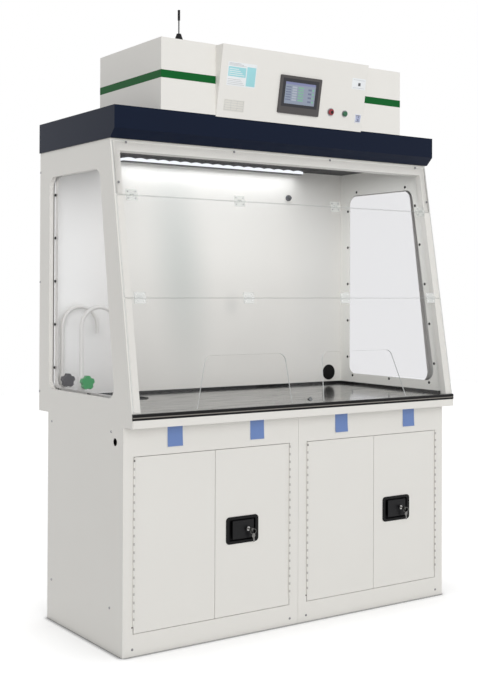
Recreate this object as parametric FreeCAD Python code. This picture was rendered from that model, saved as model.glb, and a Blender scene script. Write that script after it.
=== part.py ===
"""Ductless fume hood on a twin base cabinet, in millimetres.

X runs along the front, +Y to the back and +Z up. The origin is on the floor, in the middle of
the footprint. Each function models one physical piece, and write() saves it as one STEP file.
"""
import FreeCAD
import Part
import os
from math import atan2, cos, degrees, hypot, radians, sin, tan

V = FreeCAD.Vector
UP = V(0, 0, 1)
RIGHT = V(1, 0, 0)
BACK = V(0, 1, 0)

# Overall sizes of the hood
hood_width = 1500.0
hood_depth = 740.0
wall_height = 997.0
front_run = 172.0
header_overhang = 4.75
header_height = 111.0
header_setback = 131.0
header_chamfer = 31.0

# Sheet metal
base_sheet = 1.2
hood_sheet = 1.5
seat_gap = 0.3
turn_clearance = 0.05

# Base cabinets
base_height = 783.0
base_depth = 592.0
base_setback = 65.0
cabinet_gap = 1.0
stile_width = 40.0
top_band = 103.0
kick_height = 75.0
foot_flange = 30.0
shelf_height = 360.0
ledge_width = 15.0
ledge_inset = 45.0
shelf_flange = 20.0
cable_hole_radius = 13.5
cable_hole_behind_front = 58.7
cable_hole_below_top = 56.4
service_cut_from_side = 15.0
service_cut_length = 95.0
service_cut_from_back = 255.0
service_cut_drop = 60.0

# Doors and piano hinges
door_depth = 18.0
door_lip = 12.0
door_side_gap = 3.0
door_end_gap = 2.0
seam_gap = 2.0
stop_lip = 8.0
hinge_leaf = 1.0
hinge_leaf_depth = 16.0
knuckle_radius = 3.0
hinge_pin_radius = 1.2
hinge_bottom_gap = 29.0
hinge_top_gap = 8.0
hinge_sections = 5
knuckle_end_gap = 0.4

# Door latches
latch_width = 142.0
latch_height = 98.0
latch_corner = 14.0
latch_bezel = 2.5
latch_from_seam = 118.0
latch_above_middle = 4.5
dish_width = 120.0
dish_height = 82.0
dish_wall = 2.0
dish_depth = 15.5
dish_corner = 9.0
paddle_width = 93.0
paddle_height = 66.0
paddle_plate = 5.0
paddle_proud = 1.5
paddle_lip = 4.0
paddle_axis_from_centre = 51.0
paddle_axis_depth = 5.5
barrel_radius = 4.0
paddle_pin_radius = 2.0
lock_from_centre = 26.0
lock_boss_radius = 12.0
lock_radius = 7.5
lock_proud = 3.5
lock_length = 11.5
lock_cam_radius = 9.0
lock_cam = 2.0
keyway_width = 1.6
keyway_height = 8.0

# Worktop, sink and taps
rail_height = 27.0
worktop_thickness = 22.0
nose_depth = 4.0
nose_chamfer = 2.0
rim_height = 10.0
rim_width = 12.0
sink_from_side = 275.0
sink_from_back = 230.0
sink_length = 150.0
sink_width = 80.0
sink_flange = 6.0
sink_flange_thickness = 3.0
sink_wall = 3.0
sink_depth = 95.0
drain_radius = 19.0
drain_length = 40.0
tap_places = ((68.0, 225.0), (58.0, 83.0))
tap_flange_radius = 20.0
tap_flange_thickness = 8.0
tap_body_radius = 13.0
tap_body_height = 92.0
tap_valve_height = 73.0
tap_valve_radius = 9.0
tap_valve_reach = 38.0
tap_shank_radius = 12.0
tap_shank_length = 27.0
tap_tail_radius = 10.5
tap_tail_length = 40.0
neck_radius = 8.0
neck_rise = 278.0
neck_bend = 75.0
nozzle_radius = 6.0
nozzle_length = 30.0
knob_radius = 26.0
knob_thickness = 20.0
knob_lobes = 5
knob_scallop_radius = 10.4
knob_scallop_from_centre = 31.2
knob_stem_radius = 5.0
knob_stem_depth = 10.0

# Side walls and windows
skin_flange = 11.0
skin_lip = 15.0
wall_depth = 25.0
outer_window_from_back = 85.0
outer_window_bottom = 89.0
outer_window_top = 897.0
outer_window_front = 129.0
outer_window_run = 120.0
inner_window_from_back = 111.0
inner_window_bottom = 97.0
inner_window_top = 899.0
inner_window_front = 84.6
inner_window_run = 140.4
window_corner = 40.0
window_margin = 22.0
window_pane = 5.0

# Back wall
liner_from_back = 50.0
back_flange = 25.0
port_from_side = 95.4
port_rise = 99.7
port_radius = 30.0
port_cap_radius = 34.0
port_cap_thickness = 6.0
port_cap_bevel = 3.0
probe_from_side = 330.1
probe_rise = 878.9
probe_radius = 13.0
probe_thickness = 8.0
probe_tip_radius = 5.0
probe_tip_length = 14.0

# Face frame and clear sashes
post_inset = 35.0
frame_return = 25.0
rail_depth_on_front = 43.0
pane_thickness = 5.0
pane_inset = 5.0
pane_corner = 6.0
pane_top_gap = 8.0
upper_line_rise = 797.0
middle_line_rise = 439.0
pane_bottom_gap = 3.0
pane_gap = 3.0
arm_port_rise = 235.0
arm_port_inner_top = 88.0
arm_port_inner_bottom = 75.0
arm_port_outer_top = 435.0
arm_port_outer_bottom = 491.0
arm_port_corner = 30.0
sash_hinge_from_edge = 59.0
sash_hinge_width = 45.0
sash_hinge_height = 40.0
sash_leaf = 3.0
sash_leaf_start = 2.4
sash_knuckle_radius = 4.0
sash_pin_radius = 1.5
sash_centre_knuckle = 15.0
sash_knob_radius = 8.0
sash_knob_rise = 13.0
sash_knob_length = 15.0
sash_knob_neck_radius = 4.8
sash_knob_neck_length = 7.5
sash_knob_flare = 2.25

# Lamp and ceiling
lamp_half_length = 450.0
lamp_width = 35.0
lamp_height = 18.0
lamp_from_back = 85.0
lamp_wall = 1.5
strip_drop = 2.0
ceiling_flange = 20.0
intake_half_length = 505.0
intake_from_back = 145.0
intake_width = 335.0
filter_lip = 10.0
prefilter_thickness = 20.0

# Filter casing and fan
casing_half_width = 569.5
casing_setback = 129.7
casing_depth = 461.2
casing_height = 258.0
casing_flange = 18.0
filter_clearance = 2.0
carbon_thickness = 50.0
hepa_thickness = 68.0
fan_plate_height = 130.0
fan_x = 0.0
fan_inlet_radius = 80.0
wheel_radius = 125.0
wheel_gap = 10.0
wheel_height = 58.0
wheel_disc = 2.0
shroud_inner_radius = 86.0
blade_inner_radius = 72.0
blade_outer_radius = 122.0
blade_sweep = 38.0
blade_bulge = 9.0
blade_thickness = 2.0
blade_count = 9
hub_radius = 20.0
hub_height = 22.0
shaft_radius = 6.0
shaft_length = 20.0
motor_radius = 55.0
motor_height = 24.0
motor_gap = 4.0
bracket_width = 60.0
bracket_thickness = 4.0
grille_end_margin = 119.5
grille_width = 300.0
grille_thickness = 2.0
grille_corner = 8.0
grille_slots = 22
slot_length = 224.0
slot_width = 12.0
stripe_bottom = 114.0
stripe_width = 28.0
stripe_thickness = 0.4

# Control console
console_left = -338.0
console_right = 357.0
console_drop = 5.0
console_height = 259.0
console_foot = 2.7
console_head = 50.7
screen_left = -67.5
screen_right = 129.0
screen_bottom = 39.5
screen_top = 182.5
screen_proud = 6.0
screen_corner = 4.0
display_left = -43.0
display_right = 103.0
display_bottom = 77.0
display_top = 159.5
display_recess = 1.5
stop_button_at = (191.0, 64.5)
start_button_at = (262.0, 64.0)
stop_button_radius = 12.0
start_button_radius = 10.0
button_proud = 9.0
button_tail = 8.0
button_bevel = 1.5
collar_width = 3.5
collar_height = 3.0
rocker_at = (331.5, 51.0)
rocker_width = 21.0
rocker_half_height = 11.5
rocker_high = 6.0
rocker_low = 2.2
rocker_ridge = 3.2
rocker_tail = 6.0
rocker_tail_inset = 2.5
rocker_boss_radius = 2.0
rocker_boss_gap = 0.1
rocker_reach = 13.0
rocker_frame = 3.5
rocker_frame_thickness = 2.0

# Antenna
antenna_from_side = 91.5
antenna_from_front = 30.3
antenna_cone_radius = 17.0
antenna_neck_radius = 8.0
antenna_cone_height = 26.0
whip_radius = 2.2
whip_length = 49.0
whip_cap_radius = 4.5
whip_cap_length = 37.0

# Screws and film tabs
screw_head_radius = 4.5
screw_top_radius = 3.4
screw_head_height = 2.0
side_screws_low = ((556.0, 152.0), (93.0, 151.0))
side_screws_high = ((559.0, 32.0), (86.5, 23.0))
side_screw_rises = (74.0, 497.0, 922.0)
side_screw_from_back = 5.0
kick_screw_height = 24.0
kick_screw_inset = 38.0
rail_screw_from_side = 60.0
rail_screw_drop = 13.0
post_screw_from_side = 18.0
post_screw_drop = 156.5
tab_places = (-544.5, -192.0, 209.0, 560.0)
tab_width = 62.0
tab_height = 78.0
tab_thickness = 0.3

# Places that follow from the sizes above; a rise is counted up from the top of the base
half_width = hood_width / 2
header_half_width = half_width + header_overhang
header_fold = hood_sheet * tan(radians(22.5))
lean = atan2(front_run, wall_height)
face_length = hypot(front_run, wall_height)
worktop_bottom = base_height + rail_height
worktop_top = worktop_bottom + worktop_thickness
chamber_top = base_height + wall_height
header_top = chamber_top + header_height
casing_top = header_top + casing_height
knob_height = worktop_top + sash_knob_rise
knob_tip = seat_gap + pane_thickness + sash_knob_length
knob_run = (knob_height - base_height) * tan(lean)
knob_overhang = knob_tip * cos(lean) - knob_run + sash_knob_radius * sin(lean)
front_y = (knob_overhang - hood_depth) / 2
back_y = front_y + hood_depth
base_front = front_y + base_setback
base_back = base_front + base_depth
header_front = front_y + header_setback
casing_front = front_y + casing_setback
casing_back = casing_front + casing_depth
liner_y = back_y - liner_from_back
liner_x = half_width - wall_depth
skin_inner_x = half_width - hood_sheet
tray_x = skin_inner_x - 0.1
hinge_bottom = kick_height + hinge_bottom_gap
hinge_top = base_height - top_band - hinge_top_gap
hinge_axis_y = base_front - knuckle_radius - seat_gap
latch_centre_height = (kick_height + base_height - top_band) / 2 + latch_above_middle
sink_x = sink_from_side - half_width
sink_y = back_y - sink_from_back
tap_spots = [(from_side - half_width, back_y - from_back) for from_side, from_back in tap_places]
post_inner_x = half_width - post_inset
pane_half_width = half_width - pane_inset
upper_line_height = base_height + upper_line_rise
middle_line_height = base_height + middle_line_rise
sash_axis_out = pane_thickness + seat_gap + sash_knuckle_radius
outer_sash_hinge = pane_half_width - sash_hinge_from_edge
sash_hinge_places = (-outer_sash_hinge, -outer_sash_hinge / 3, outer_sash_hinge / 3, outer_sash_hinge)
outer_rail_screw = half_width - rail_screw_from_side
rail_screws = (-outer_rail_screw, -outer_rail_screw / 3, outer_rail_screw / 3, outer_rail_screw)
console_bottom = header_top - console_drop
console_lean = atan2(console_head - console_foot, console_height)
console_front = casing_front - console_foot
lamp_back = back_y - lamp_from_back
intake_back = back_y - intake_from_back
intake_front = intake_back - intake_width
fan_y = (casing_front + casing_back) / 2
grille_half_length = casing_half_width - grille_end_margin
grille_front = fan_y - grille_width / 2
grille_back = fan_y + grille_width / 2


def block(x0, x1, y0, y1, z0, z1):
    """Box between two corners."""
    return Part.makeBox(x1 - x0, y1 - y0, z1 - z0, V(x0, y0, z0))


def rod(start, axis, radius, length):
    """Solid cylinder from a point along an axis."""
    return Part.makeCylinder(radius, length, start, axis)


def to_space(plane, a, b, level):
    """Point of a flat outline, set in the named plane at a level."""
    if plane == "xy":
        return V(a, b, level)
    if plane == "xz":
        return V(a, level, b)
    return V(level, a, b)


def slab(plane, outline, low, high, radius=0.0):
    """Outline with corners of one radius, extruded square to its plane from low to high."""
    count = len(outline)
    corners = []
    for i in range(count):
        here = V(outline[i][0], outline[i][1], 0)
        back = (V(outline[i - 1][0], outline[i - 1][1], 0) - here).normalize()
        ahead = (V(outline[(i + 1) % count][0], outline[(i + 1) % count][1], 0) - here).normalize()
        half = back.getAngle(ahead) / 2
        reach = radius / tan(half)
        middle = here + (back + ahead).normalize() * (radius / sin(half) - radius)
        corners.append((here + back * reach, middle, here + ahead * reach))
    edges = []
    for i in range(count):
        start, middle, end = (to_space(plane, p.x, p.y, low) for p in corners[i])
        following = corners[(i + 1) % count][0]
        if radius > 0:
            edges.append(Part.Arc(start, middle, end).toShape())
        edges.append(Part.LineSegment(end, to_space(plane, following.x, following.y, low)).toShape())
    face = Part.Face(Part.Wire(edges))
    rise = to_space(plane, 0, 0, high) - to_space(plane, 0, 0, low)
    return face.extrude(rise)


def rectangle(a0, a1, b0, b1):
    """Four corners of a rectangle, in order round it."""
    return [(a0, b0), (a1, b0), (a1, b1), (a0, b1)]


def turned(profile, centre, axis):
    """Solid of revolution: (radius, height) points round an axis that leaves the centre."""
    points = [V(radius, 0, height) for radius, height in profile]
    face = Part.Face(Part.makePolygon(points + points[:1]))
    shape = face.revolve(V(0, 0, 0), UP, 360)
    shape.Placement = FreeCAD.Placement(centre, FreeCAD.Rotation(UP, axis))
    return shape


def fused(shapes):
    """One solid out of several that touch or overlap."""
    first = shapes[0]
    return first.multiFuse(shapes[1:]).removeSplitter()


def placed(shape, at, foot, tilt):
    """Shape moved to a spot of a flat face, with the face then tipped up about its foot."""
    frame = FreeCAD.Placement(foot, FreeCAD.Rotation(RIGHT, tilt))
    shape.Placement = frame.multiply(FreeCAD.Placement(at, FreeCAD.Rotation())).multiply(shape.Placement)
    return shape


def on_front(shape, at=V(0, 0, 0)):
    """Move a shape from the flat (x, up the face, outwards) to the leaning front."""
    return placed(shape, at, V(0, front_y, base_height), 90 - degrees(lean))


def up_face(height):
    """Distance up the leaning front at which its outer plane reaches a height."""
    return (height - base_height) / cos(lean)


def on_console(shape, at=V(0, 0, 0)):
    """Move a shape from the flat (x, up the face, outwards) to the console's face."""
    return placed(shape, at, V(0, console_front, console_bottom), 90 + degrees(console_lean))


def mirrored(shape):
    """The same piece on the other side of the middle plane."""
    return shape.mirror(V(0, 0, 0), RIGHT)


def write(name, *solids):
    """Save one named piece, or a group of like pieces, as a STEP file."""
    shape = solids[0] if len(solids) == 1 else Part.makeCompound(list(solids))
    shape.exportStep(f"parts/{name}.step")
    print(name, "valid" if shape.isValid() else "BROKEN", len(shape.Solids), round(shape.Volume / 1000))


# Base cabinets

def cabinet_span(side):
    """Left and right limits of a base cabinet; side is -1 for the left one and 1 for the right."""
    inner = cabinet_gap / 2
    return (-half_width, -inner) if side < 0 else (inner, half_width)


def door_opening(side):
    """Left and right edges of a cabinet's door opening."""
    x0, x1 = cabinet_span(side)
    return x0 + stile_width, x1 - stile_width


def carcass(side):
    """Welded cabinet body: sides, back, floor, top, foot flange and the two shelf ledges.

    The left one has a cable hole in its side and a cut in its top and back for the taps' hoses.
    """
    x0, x1 = cabinet_span(side)
    y0 = base_front + hood_sheet
    t = base_sheet
    body = block(x0, x1, y0, base_back, 0, base_height)
    room = block(x0 + t, x1 - t, y0 - t, base_back - t, kick_height, base_height - t)
    under = block(x0 + t, x1 - t, y0 - t, base_back - t, t, kick_height - t)
    foot = block(x0 + foot_flange, x1 - foot_flange, y0 - t, base_back - foot_flange, -t, 2 * t)
    frame_back = base_front + door_depth + seat_gap + hood_sheet
    front_gap = block(x0 + t, x1 - t, y0 - t, frame_back, kick_height - 2 * t, kick_height + t)
    body = body.cut(Part.makeCompound([room, under])).cut(foot).cut(front_gap)
    ledges = []
    for wall, inward in ((x0 + t, 1), (x1 - t, -1)):
        edge = wall + inward * ledge_width
        span = sorted((wall, edge))
        turn = sorted((edge, edge - inward * t))
        y1, y2 = base_front + ledge_inset, base_back - ledge_inset
        ledges.append(block(*span, y1, y2, shelf_height - t, shelf_height))
        ledges.append(block(*turn, y1, y2, shelf_height - ledge_width, shelf_height))
    body = fused([body] + ledges)
    if side < 0:
        hole_y = base_front + cable_hole_behind_front
        hole_z = base_height - cable_hole_below_top
        body = body.cut(rod(V(x0 - t, hole_y, hole_z), RIGHT, cable_hole_radius, 4 * t))
        body = body.cut(sink_shape(sink_flange / 2, base_height - 2 * t, base_height + t))
        service_x = x0 + service_cut_from_side
        body = body.cut(block(service_x, service_x + service_cut_length, back_y - service_cut_from_back,
                              base_back + t, base_height - service_cut_drop, base_height + t))
    return body


def front_frame(side):
    """Folded front of a cabinet: stiles, top band and kick plate, with returns round the doors."""
    x0, x1 = cabinet_span(side)
    a, b = door_opening(side)
    low, high = kick_height, base_height - top_band
    t = hood_sheet
    stop_y = base_front + door_depth + seat_gap
    face = block(x0, x1, base_front, base_front + t, 0, base_height)
    collar = block(a - t, b + t, base_front, stop_y + t, low - t, high + t)
    frame = face.fuse(collar).cut(block(a, b, base_front - t, stop_y + 2 * t, low, high))
    bottom_stop = block(a, b, stop_y, stop_y + t, low, low + stop_lip)
    top_stop = block(a, b, stop_y, stop_y + t, high - stop_lip, high)
    return fused([frame, bottom_stop, top_stop])


def shelf(side):
    """Shelf sheet lying on the ledges, with a fold down along its front and back edges."""
    x0, x1 = cabinet_span(side)
    t = base_sheet
    side_gap = t + door_end_gap
    y0, y1 = base_front + ledge_inset, base_back - t - door_end_gap
    sheet = block(x0 + side_gap, x1 - side_gap, y0, y1, shelf_height, shelf_height + t)
    inset = t + ledge_width + door_end_gap
    folds = []
    for y in (y0, y1 - t):
        folds.append(block(x0 + inset, x1 - inset, y, y + t, shelf_height - shelf_flange, shelf_height + t))
    return fused([sheet] + folds)


def hinge_places():
    """Stile edge and opening direction of each door: 1 where the leaf lies to the right of it."""
    places = []
    for side in (-1, 1):
        a, b = door_opening(side)
        places += [(a, 1), (b, -1)]
    return places


def knuckle_spans(first):
    """Heights of every second knuckle of a piano hinge, counted from the first one."""
    pitch = (hinge_top - hinge_bottom) / hinge_sections
    spans = []
    for i in range(first, hinge_sections, 2):
        start = hinge_bottom + i * pitch
        spans.append((start + knuckle_end_gap / 2, start + pitch - knuckle_end_gap / 2))
    return spans


def hinge_strip(stile, way, near, spans):
    """Flat leaf of a piano hinge with its knuckles; near is its distance from the stile."""
    axis_x = stile + way * door_side_gap / 2
    strip = sorted((stile + way * near, stile + way * (near + hinge_leaf)))
    y1 = base_front + hinge_leaf_depth
    pieces = [block(*strip, base_front, y1, hinge_bottom, hinge_top)]
    for low, high in spans:
        pieces.append(block(*strip, hinge_axis_y, base_front + hinge_leaf, low, high))
        pieces.append(rod(V(axis_x, hinge_axis_y, low), UP, knuckle_radius, high - low))
    return fused(pieces)


def frame_hinge(stile, way):
    """Piano hinge leaf on the stile, with the pin fast in its knuckles."""
    leaf = hinge_strip(stile, way, 0.0, knuckle_spans(0))
    axis_x = stile + way * door_side_gap / 2
    pin = rod(V(axis_x, hinge_axis_y, hinge_bottom + knuckle_end_gap / 2), UP, hinge_pin_radius,
              hinge_top - hinge_bottom - knuckle_end_gap)
    return fused([leaf, pin])


def door_span(side, way):
    """Left and right edges of a door leaf; way is 1 for a leaf hinged at its left."""
    a, b = door_opening(side)
    seam = (a + b) / 2
    if way > 0:
        return a + door_side_gap, seam - seam_gap / 2
    return seam + seam_gap / 2, b - door_side_gap


def door(side, way):
    """Door pan with back lips, its piano hinge leaf spot-welded on and, if latched, a cut-out."""
    x0, x1 = door_span(side, way)
    z0, z1 = kick_height + door_end_gap, base_height - top_band - door_end_gap
    y0, y1 = base_front, base_front + door_depth
    t = base_sheet
    pan = block(x0, x1, y0, y1, z0, z1)
    room = block(x0 + t, x1 - t, y0 + t, y1 - t, z0 + t, z1 - t)
    mouth = block(x0 + door_lip, x1 - door_lip, y1 - 2 * t, y1 + t, z0 + door_lip, z1 - door_lip)
    pan = pan.cut(room.fuse(mouth))
    if way < 0:
        cx, cz = latch_centre(side)
        half_w, half_h = dish_width / 2 + seat_gap, dish_height / 2 + seat_gap
        outline = rectangle(cx - half_w, cx + half_w, cz - half_h, cz + half_h)
        pan = pan.cut(slab("xz", outline, y0 - t, y0 + 2 * t, dish_corner + seat_gap))
    stile = x0 - door_side_gap if way > 0 else x1 + door_side_gap
    leaf = hinge_strip(stile, way, door_side_gap - hinge_leaf, knuckle_spans(1))
    axis_x = stile + way * door_side_gap / 2
    bore = rod(V(axis_x, hinge_axis_y, hinge_bottom), UP, hinge_pin_radius + turn_clearance,
               hinge_top - hinge_bottom)
    return fused([pan, leaf.cut(bore)])


# Door latches

def latch_centre(side):
    """Middle of the latch on a cabinet's right-hand leaf."""
    a, b = door_opening(side)
    return (a + b) / 2 + latch_from_seam, latch_centre_height


def latch_dish(side):
    """Black moulded dish of a latch: bezel on the door's face and a recess behind it."""
    cx, cz = latch_centre(side)
    face_y = base_front - latch_bezel
    bezel = slab("xz", rectangle(cx - latch_width / 2, cx + latch_width / 2, cz - latch_height / 2,
                                 cz + latch_height / 2), face_y, base_front, latch_corner)
    half_w, half_h = dish_width / 2, dish_height / 2
    cup = slab("xz", rectangle(cx - half_w, cx + half_w, cz - half_h, cz + half_h),
               face_y, base_front + dish_depth, dish_corner)
    inner_w, inner_h = half_w - dish_wall, half_h - dish_wall
    recess = slab("xz", rectangle(cx - inner_w, cx + inner_w, cz - inner_h, cz + inner_h),
                  face_y - 1, base_front + dish_depth - dish_wall, dish_corner - dish_wall)
    x, y = paddle_axis(side)
    bore = rod(V(x, y, cz - half_h - 1), UP, paddle_pin_radius + turn_clearance, dish_height + 2)
    return fused([bezel, cup]).cut(recess).cut(bore)


def paddle_axis(side):
    """Place of the upright pin on which the paddle turns."""
    return latch_centre(side)[0] + paddle_axis_from_centre, base_front + paddle_axis_depth


def latch_paddle(side):
    """Pull paddle with a finger lip, a barrel with pin ends and a boss bored for the lock."""
    cx, cz = latch_centre(side)
    x, y = paddle_axis(side)
    front = base_front - paddle_proud
    half_h = paddle_height / 2
    plate = slab("xz", rectangle(x - paddle_width, x, cz - half_h, cz + half_h), front,
                 front + paddle_plate, paddle_lip / 2)
    lip = block(x - paddle_width, x - paddle_width + paddle_lip, front + paddle_lip / 2,
                front + paddle_plate + paddle_lip, cz - half_h + paddle_lip, cz + half_h - paddle_lip)
    barrel = rod(V(x, y, cz - half_h), UP, barrel_radius, paddle_height)
    web = block(x - barrel_radius, x, front + paddle_plate / 2, y, cz - half_h + paddle_lip,
                cz + half_h - paddle_lip)
    pin = rod(V(x, y, cz - dish_height / 2), UP, paddle_pin_radius, dish_height)
    lock_x = cx + lock_from_centre
    lock_face = base_front - lock_proud
    boss = rod(V(lock_x, lock_face, cz), BACK, lock_boss_radius, lock_length)
    bore = rod(V(lock_x, lock_face - 1, cz), BACK, lock_radius + turn_clearance, lock_length + 2)
    return fused([plate, lip, barrel, web, pin, boss]).cut(bore)


def lock_cylinder(side):
    """Round lock plug with its keyway, and the cam disc behind the boss."""
    cx, cz = latch_centre(side)
    x = cx + lock_from_centre
    face_y = base_front - lock_proud
    back = lock_length + turn_clearance
    profile = [(0, 0), (lock_radius, 0), (lock_radius, back), (lock_cam_radius, back),
               (lock_cam_radius, back + lock_cam), (0, back + lock_cam)]
    plug = turned(profile, V(x, face_y, cz), BACK)
    keyway = block(x - keyway_width / 2, x + keyway_width / 2, face_y - 1, face_y + keyway_height / 2,
                   cz - keyway_height / 2, cz + keyway_height / 2)
    return plug.cut(keyway)


# Worktop, sink and taps

def sink_shape(grow, low, high):
    """Oval of the cup sink's bowl, grown by a margin, between two heights."""
    half_l = sink_length / 2 - sink_flange + grow
    half_w = sink_width / 2 - sink_flange + grow
    outline = rectangle(sink_x - half_l, sink_x + half_l, sink_y - half_w, sink_y + half_w)
    return slab("xy", outline, low, high, half_w - 0.5)


def worktop_frame():
    """Folded steel tray under the worktop; its front fold is the white rail."""
    t = hood_sheet
    top = worktop_bottom
    body = block(-tray_x, tray_x, front_y, back_y, base_height, top)
    room = block(-tray_x + t, tray_x - t, front_y + t, back_y - t, base_height - t, top - t)
    body = body.cut(room).cut(sink_shape(sink_flange / 2, top - 2 * t, top + t))
    for x, y in tap_spots:
        body = body.cut(rod(V(x, y, top - 2 * t), UP, tap_shank_radius + seat_gap, 4 * t))
    return body


def worktop():
    """Dark slab with a nose across the full width and a raised rim at its sides and back."""
    low, high = worktop_bottom, worktop_top
    back = back_y - back_flange - seat_gap
    c = nose_chamfer
    slab_body = block(-tray_x, tray_x, front_y + nose_depth, back, low, high)
    nose_line = [(front_y, low + c), (front_y + c, low), (front_y + 2 * nose_depth, low),
                 (front_y + 2 * nose_depth, high), (front_y + c, high), (front_y, high - c)]
    nose = slab("yz", nose_line, -half_width, half_width)
    nose = nose.cut(block(-half_width - 1, -tray_x, front_y + nose_depth, front_y + 3 * nose_depth,
                          low - 1, high + 1))
    nose = nose.cut(block(tray_x, half_width + 1, front_y + nose_depth, front_y + 3 * nose_depth,
                          low - 1, high + 1))
    x = liner_x - seat_gap
    y0 = front_y + 2 * frame_return
    y1 = liner_y - seat_gap
    rims = [block(-x, -x + rim_width, y0, y1, high - c, high + rim_height),
            block(x - rim_width, x, y0, y1, high - c, high + rim_height),
            block(-x, x, y1 - rim_width, y1, high - c, high + rim_height)]
    top = fused([slab_body, nose] + rims)
    top = top.cut(sink_shape(seat_gap, low - 1, high + 1))
    for tap_x, tap_y in tap_spots:
        top = top.cut(rod(V(tap_x, tap_y, low - 1), UP, tap_shank_radius + seat_gap, worktop_thickness + 2))
    return top


def cup_sink():
    """Oval drop-in cup sink with a rim flange, a bowl and a drain spigot."""
    top = worktop_top
    floor_z = top - sink_depth
    flange = sink_shape(sink_flange, top, top + sink_flange_thickness)
    cup = sink_shape(0, floor_z, top)
    spigot = rod(V(sink_x, sink_y, floor_z - drain_length), UP, drain_radius, drain_length + 1)
    hollow = sink_shape(-sink_wall, floor_z + sink_wall, top + 2 * sink_flange_thickness)
    drain = rod(V(sink_x, sink_y, floor_z - drain_length - 1), UP, drain_radius - sink_wall,
                drain_length + 2 * sink_wall + 2)
    return fused([flange, cup, spigot]).cut(hollow).cut(drain)


def gooseneck(x, y):
    """Bench tap: flange, body, shank with its tail, valve boss and a swan neck with a nozzle."""
    z = worktop_top
    neck_foot = z + tap_body_height
    neck_top = z + neck_rise
    flange = rod(V(x, y, z), UP, tap_flange_radius, tap_flange_thickness)
    body = rod(V(x, y, z), UP, tap_body_radius, tap_body_height)
    shank = rod(V(x, y, z - tap_shank_length), UP, tap_shank_radius, tap_shank_length)
    tail_z = z - tap_shank_length - tap_tail_length
    tail = rod(V(x, y, tail_z), UP, tap_tail_radius, tap_tail_length)
    boss = rod(V(x, y, z + tap_valve_height), V(0, -1, 0), tap_valve_radius, tap_valve_reach)
    bend_x = x + neck_bend
    end_x = x + 2 * neck_bend
    line = Part.LineSegment(V(x, y, neck_foot - 1), V(x, y, neck_top)).toShape()
    arch = Part.Arc(V(x, y, neck_top), V(bend_x, y, neck_top + neck_bend), V(end_x, y, neck_top)).toShape()
    section = Part.Wire(Part.makeCircle(neck_radius, V(x, y, neck_foot - 1), UP))
    neck = Part.Wire([line, arch]).makePipeShell([section], True, False)
    nozzle_foot = V(end_x, y, neck_top - nozzle_length)
    nozzle = Part.makeCone(nozzle_radius, neck_radius, nozzle_length, nozzle_foot, UP)
    stem = rod(V(x, y - tap_valve_reach + knob_stem_depth, z + tap_valve_height), V(0, -1, 0),
               knob_stem_radius + turn_clearance, knob_stem_depth + 1)
    return fused([flange, body, shank, tail, boss, neck, nozzle]).cut(stem)


def tap_knob(x, tap_y):
    """Lobed knob on a stem that turns in the valve boss."""
    y = tap_y - tap_valve_reach - seat_gap
    z = worktop_top + tap_valve_height
    forward = V(0, -1, 0)
    knob = rod(V(x, y, z), forward, knob_radius, knob_thickness)
    for i in range(knob_lobes):
        angle = radians(90 + (i + 0.5) * 360 / knob_lobes)
        at = V(x + knob_scallop_from_centre * cos(angle), y + 1, z + knob_scallop_from_centre * sin(angle))
        knob = knob.cut(rod(at, forward, knob_scallop_radius, knob_thickness + 2))
    stem = rod(V(x, y + knob_stem_depth, z), forward, knob_stem_radius, knob_stem_depth + 1)
    return fused([knob, stem])


# Hood walls

def wall_outline(inset):
    """Side wall outline in (y, z), with its leaning front edge moved back by an inset."""
    return [(front_y + inset, base_height), (back_y, base_height), (back_y, chamber_top),
            (front_y + front_run + inset, chamber_top)]


def window_outline(back, bottom, top, front, run, grow=0.0):
    """Four-sided window with a leaning front edge, in (y, z), grown by a margin.

    The run is the lean of the front edge; bottom and top are counted up from the base.
    """
    y0, y1 = front_y + front - grow, back_y - back + grow
    z0, z1 = base_height + bottom - grow, base_height + top + grow
    return [(y0, z0), (y1, z0), (y1, z1), (y0 + run, z1)]


outer_window = window_outline(outer_window_from_back, outer_window_bottom, outer_window_top,
                              outer_window_front, outer_window_run)
inner_window = window_outline(inner_window_from_back, inner_window_bottom, inner_window_top,
                              inner_window_front, inner_window_run)


def side_skin():
    """Outer sheet of the right wall, with a front flange and a folded lip round its window."""
    t = hood_sheet
    x0, x1 = skin_inner_x, half_width
    sheet = slab("yz", wall_outline(0.0), x0, x1)
    flange = on_front(block(half_width - skin_flange, half_width, up_face(worktop_top) + seat_gap,
                            face_length, -t, 0))
    lip_outline = window_outline(outer_window_from_back, outer_window_bottom, outer_window_top,
                                 outer_window_front, outer_window_run, t)
    lip = slab("yz", lip_outline, x0 - skin_lip, x1, window_corner + t)
    body = fused([sheet, flange, lip])
    body = body.common(block(0, half_width, front_y - 1, back_y, base_height, chamber_top))
    return body.cut(slab("yz", outer_window, x0 - 2 * skin_lip, x1 + t, window_corner))


def side_liner():
    """Inner sheet of the right wall, from the worktop to the ceiling, with its window."""
    inset = (hood_sheet + seat_gap) / cos(lean)
    outline = [(front_y + inset + front_run * (worktop_top - base_height) / wall_height, worktop_top),
               (liner_y, worktop_top), (liner_y, chamber_top), (front_y + inset + front_run, chamber_top)]
    sheet = slab("yz", outline, liner_x, liner_x + hood_sheet)
    return sheet.cut(slab("yz", inner_window, liner_x - 1, liner_x + 2 * hood_sheet, window_corner))


def side_window():
    """Clear pane screwed to the outer face of the right liner."""
    outline = window_outline(inner_window_from_back, inner_window_bottom, inner_window_top,
                             inner_window_front, inner_window_run, window_margin)
    x0 = liner_x + hood_sheet
    return slab("yz", outline, x0, x0 + window_pane, window_margin)


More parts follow.
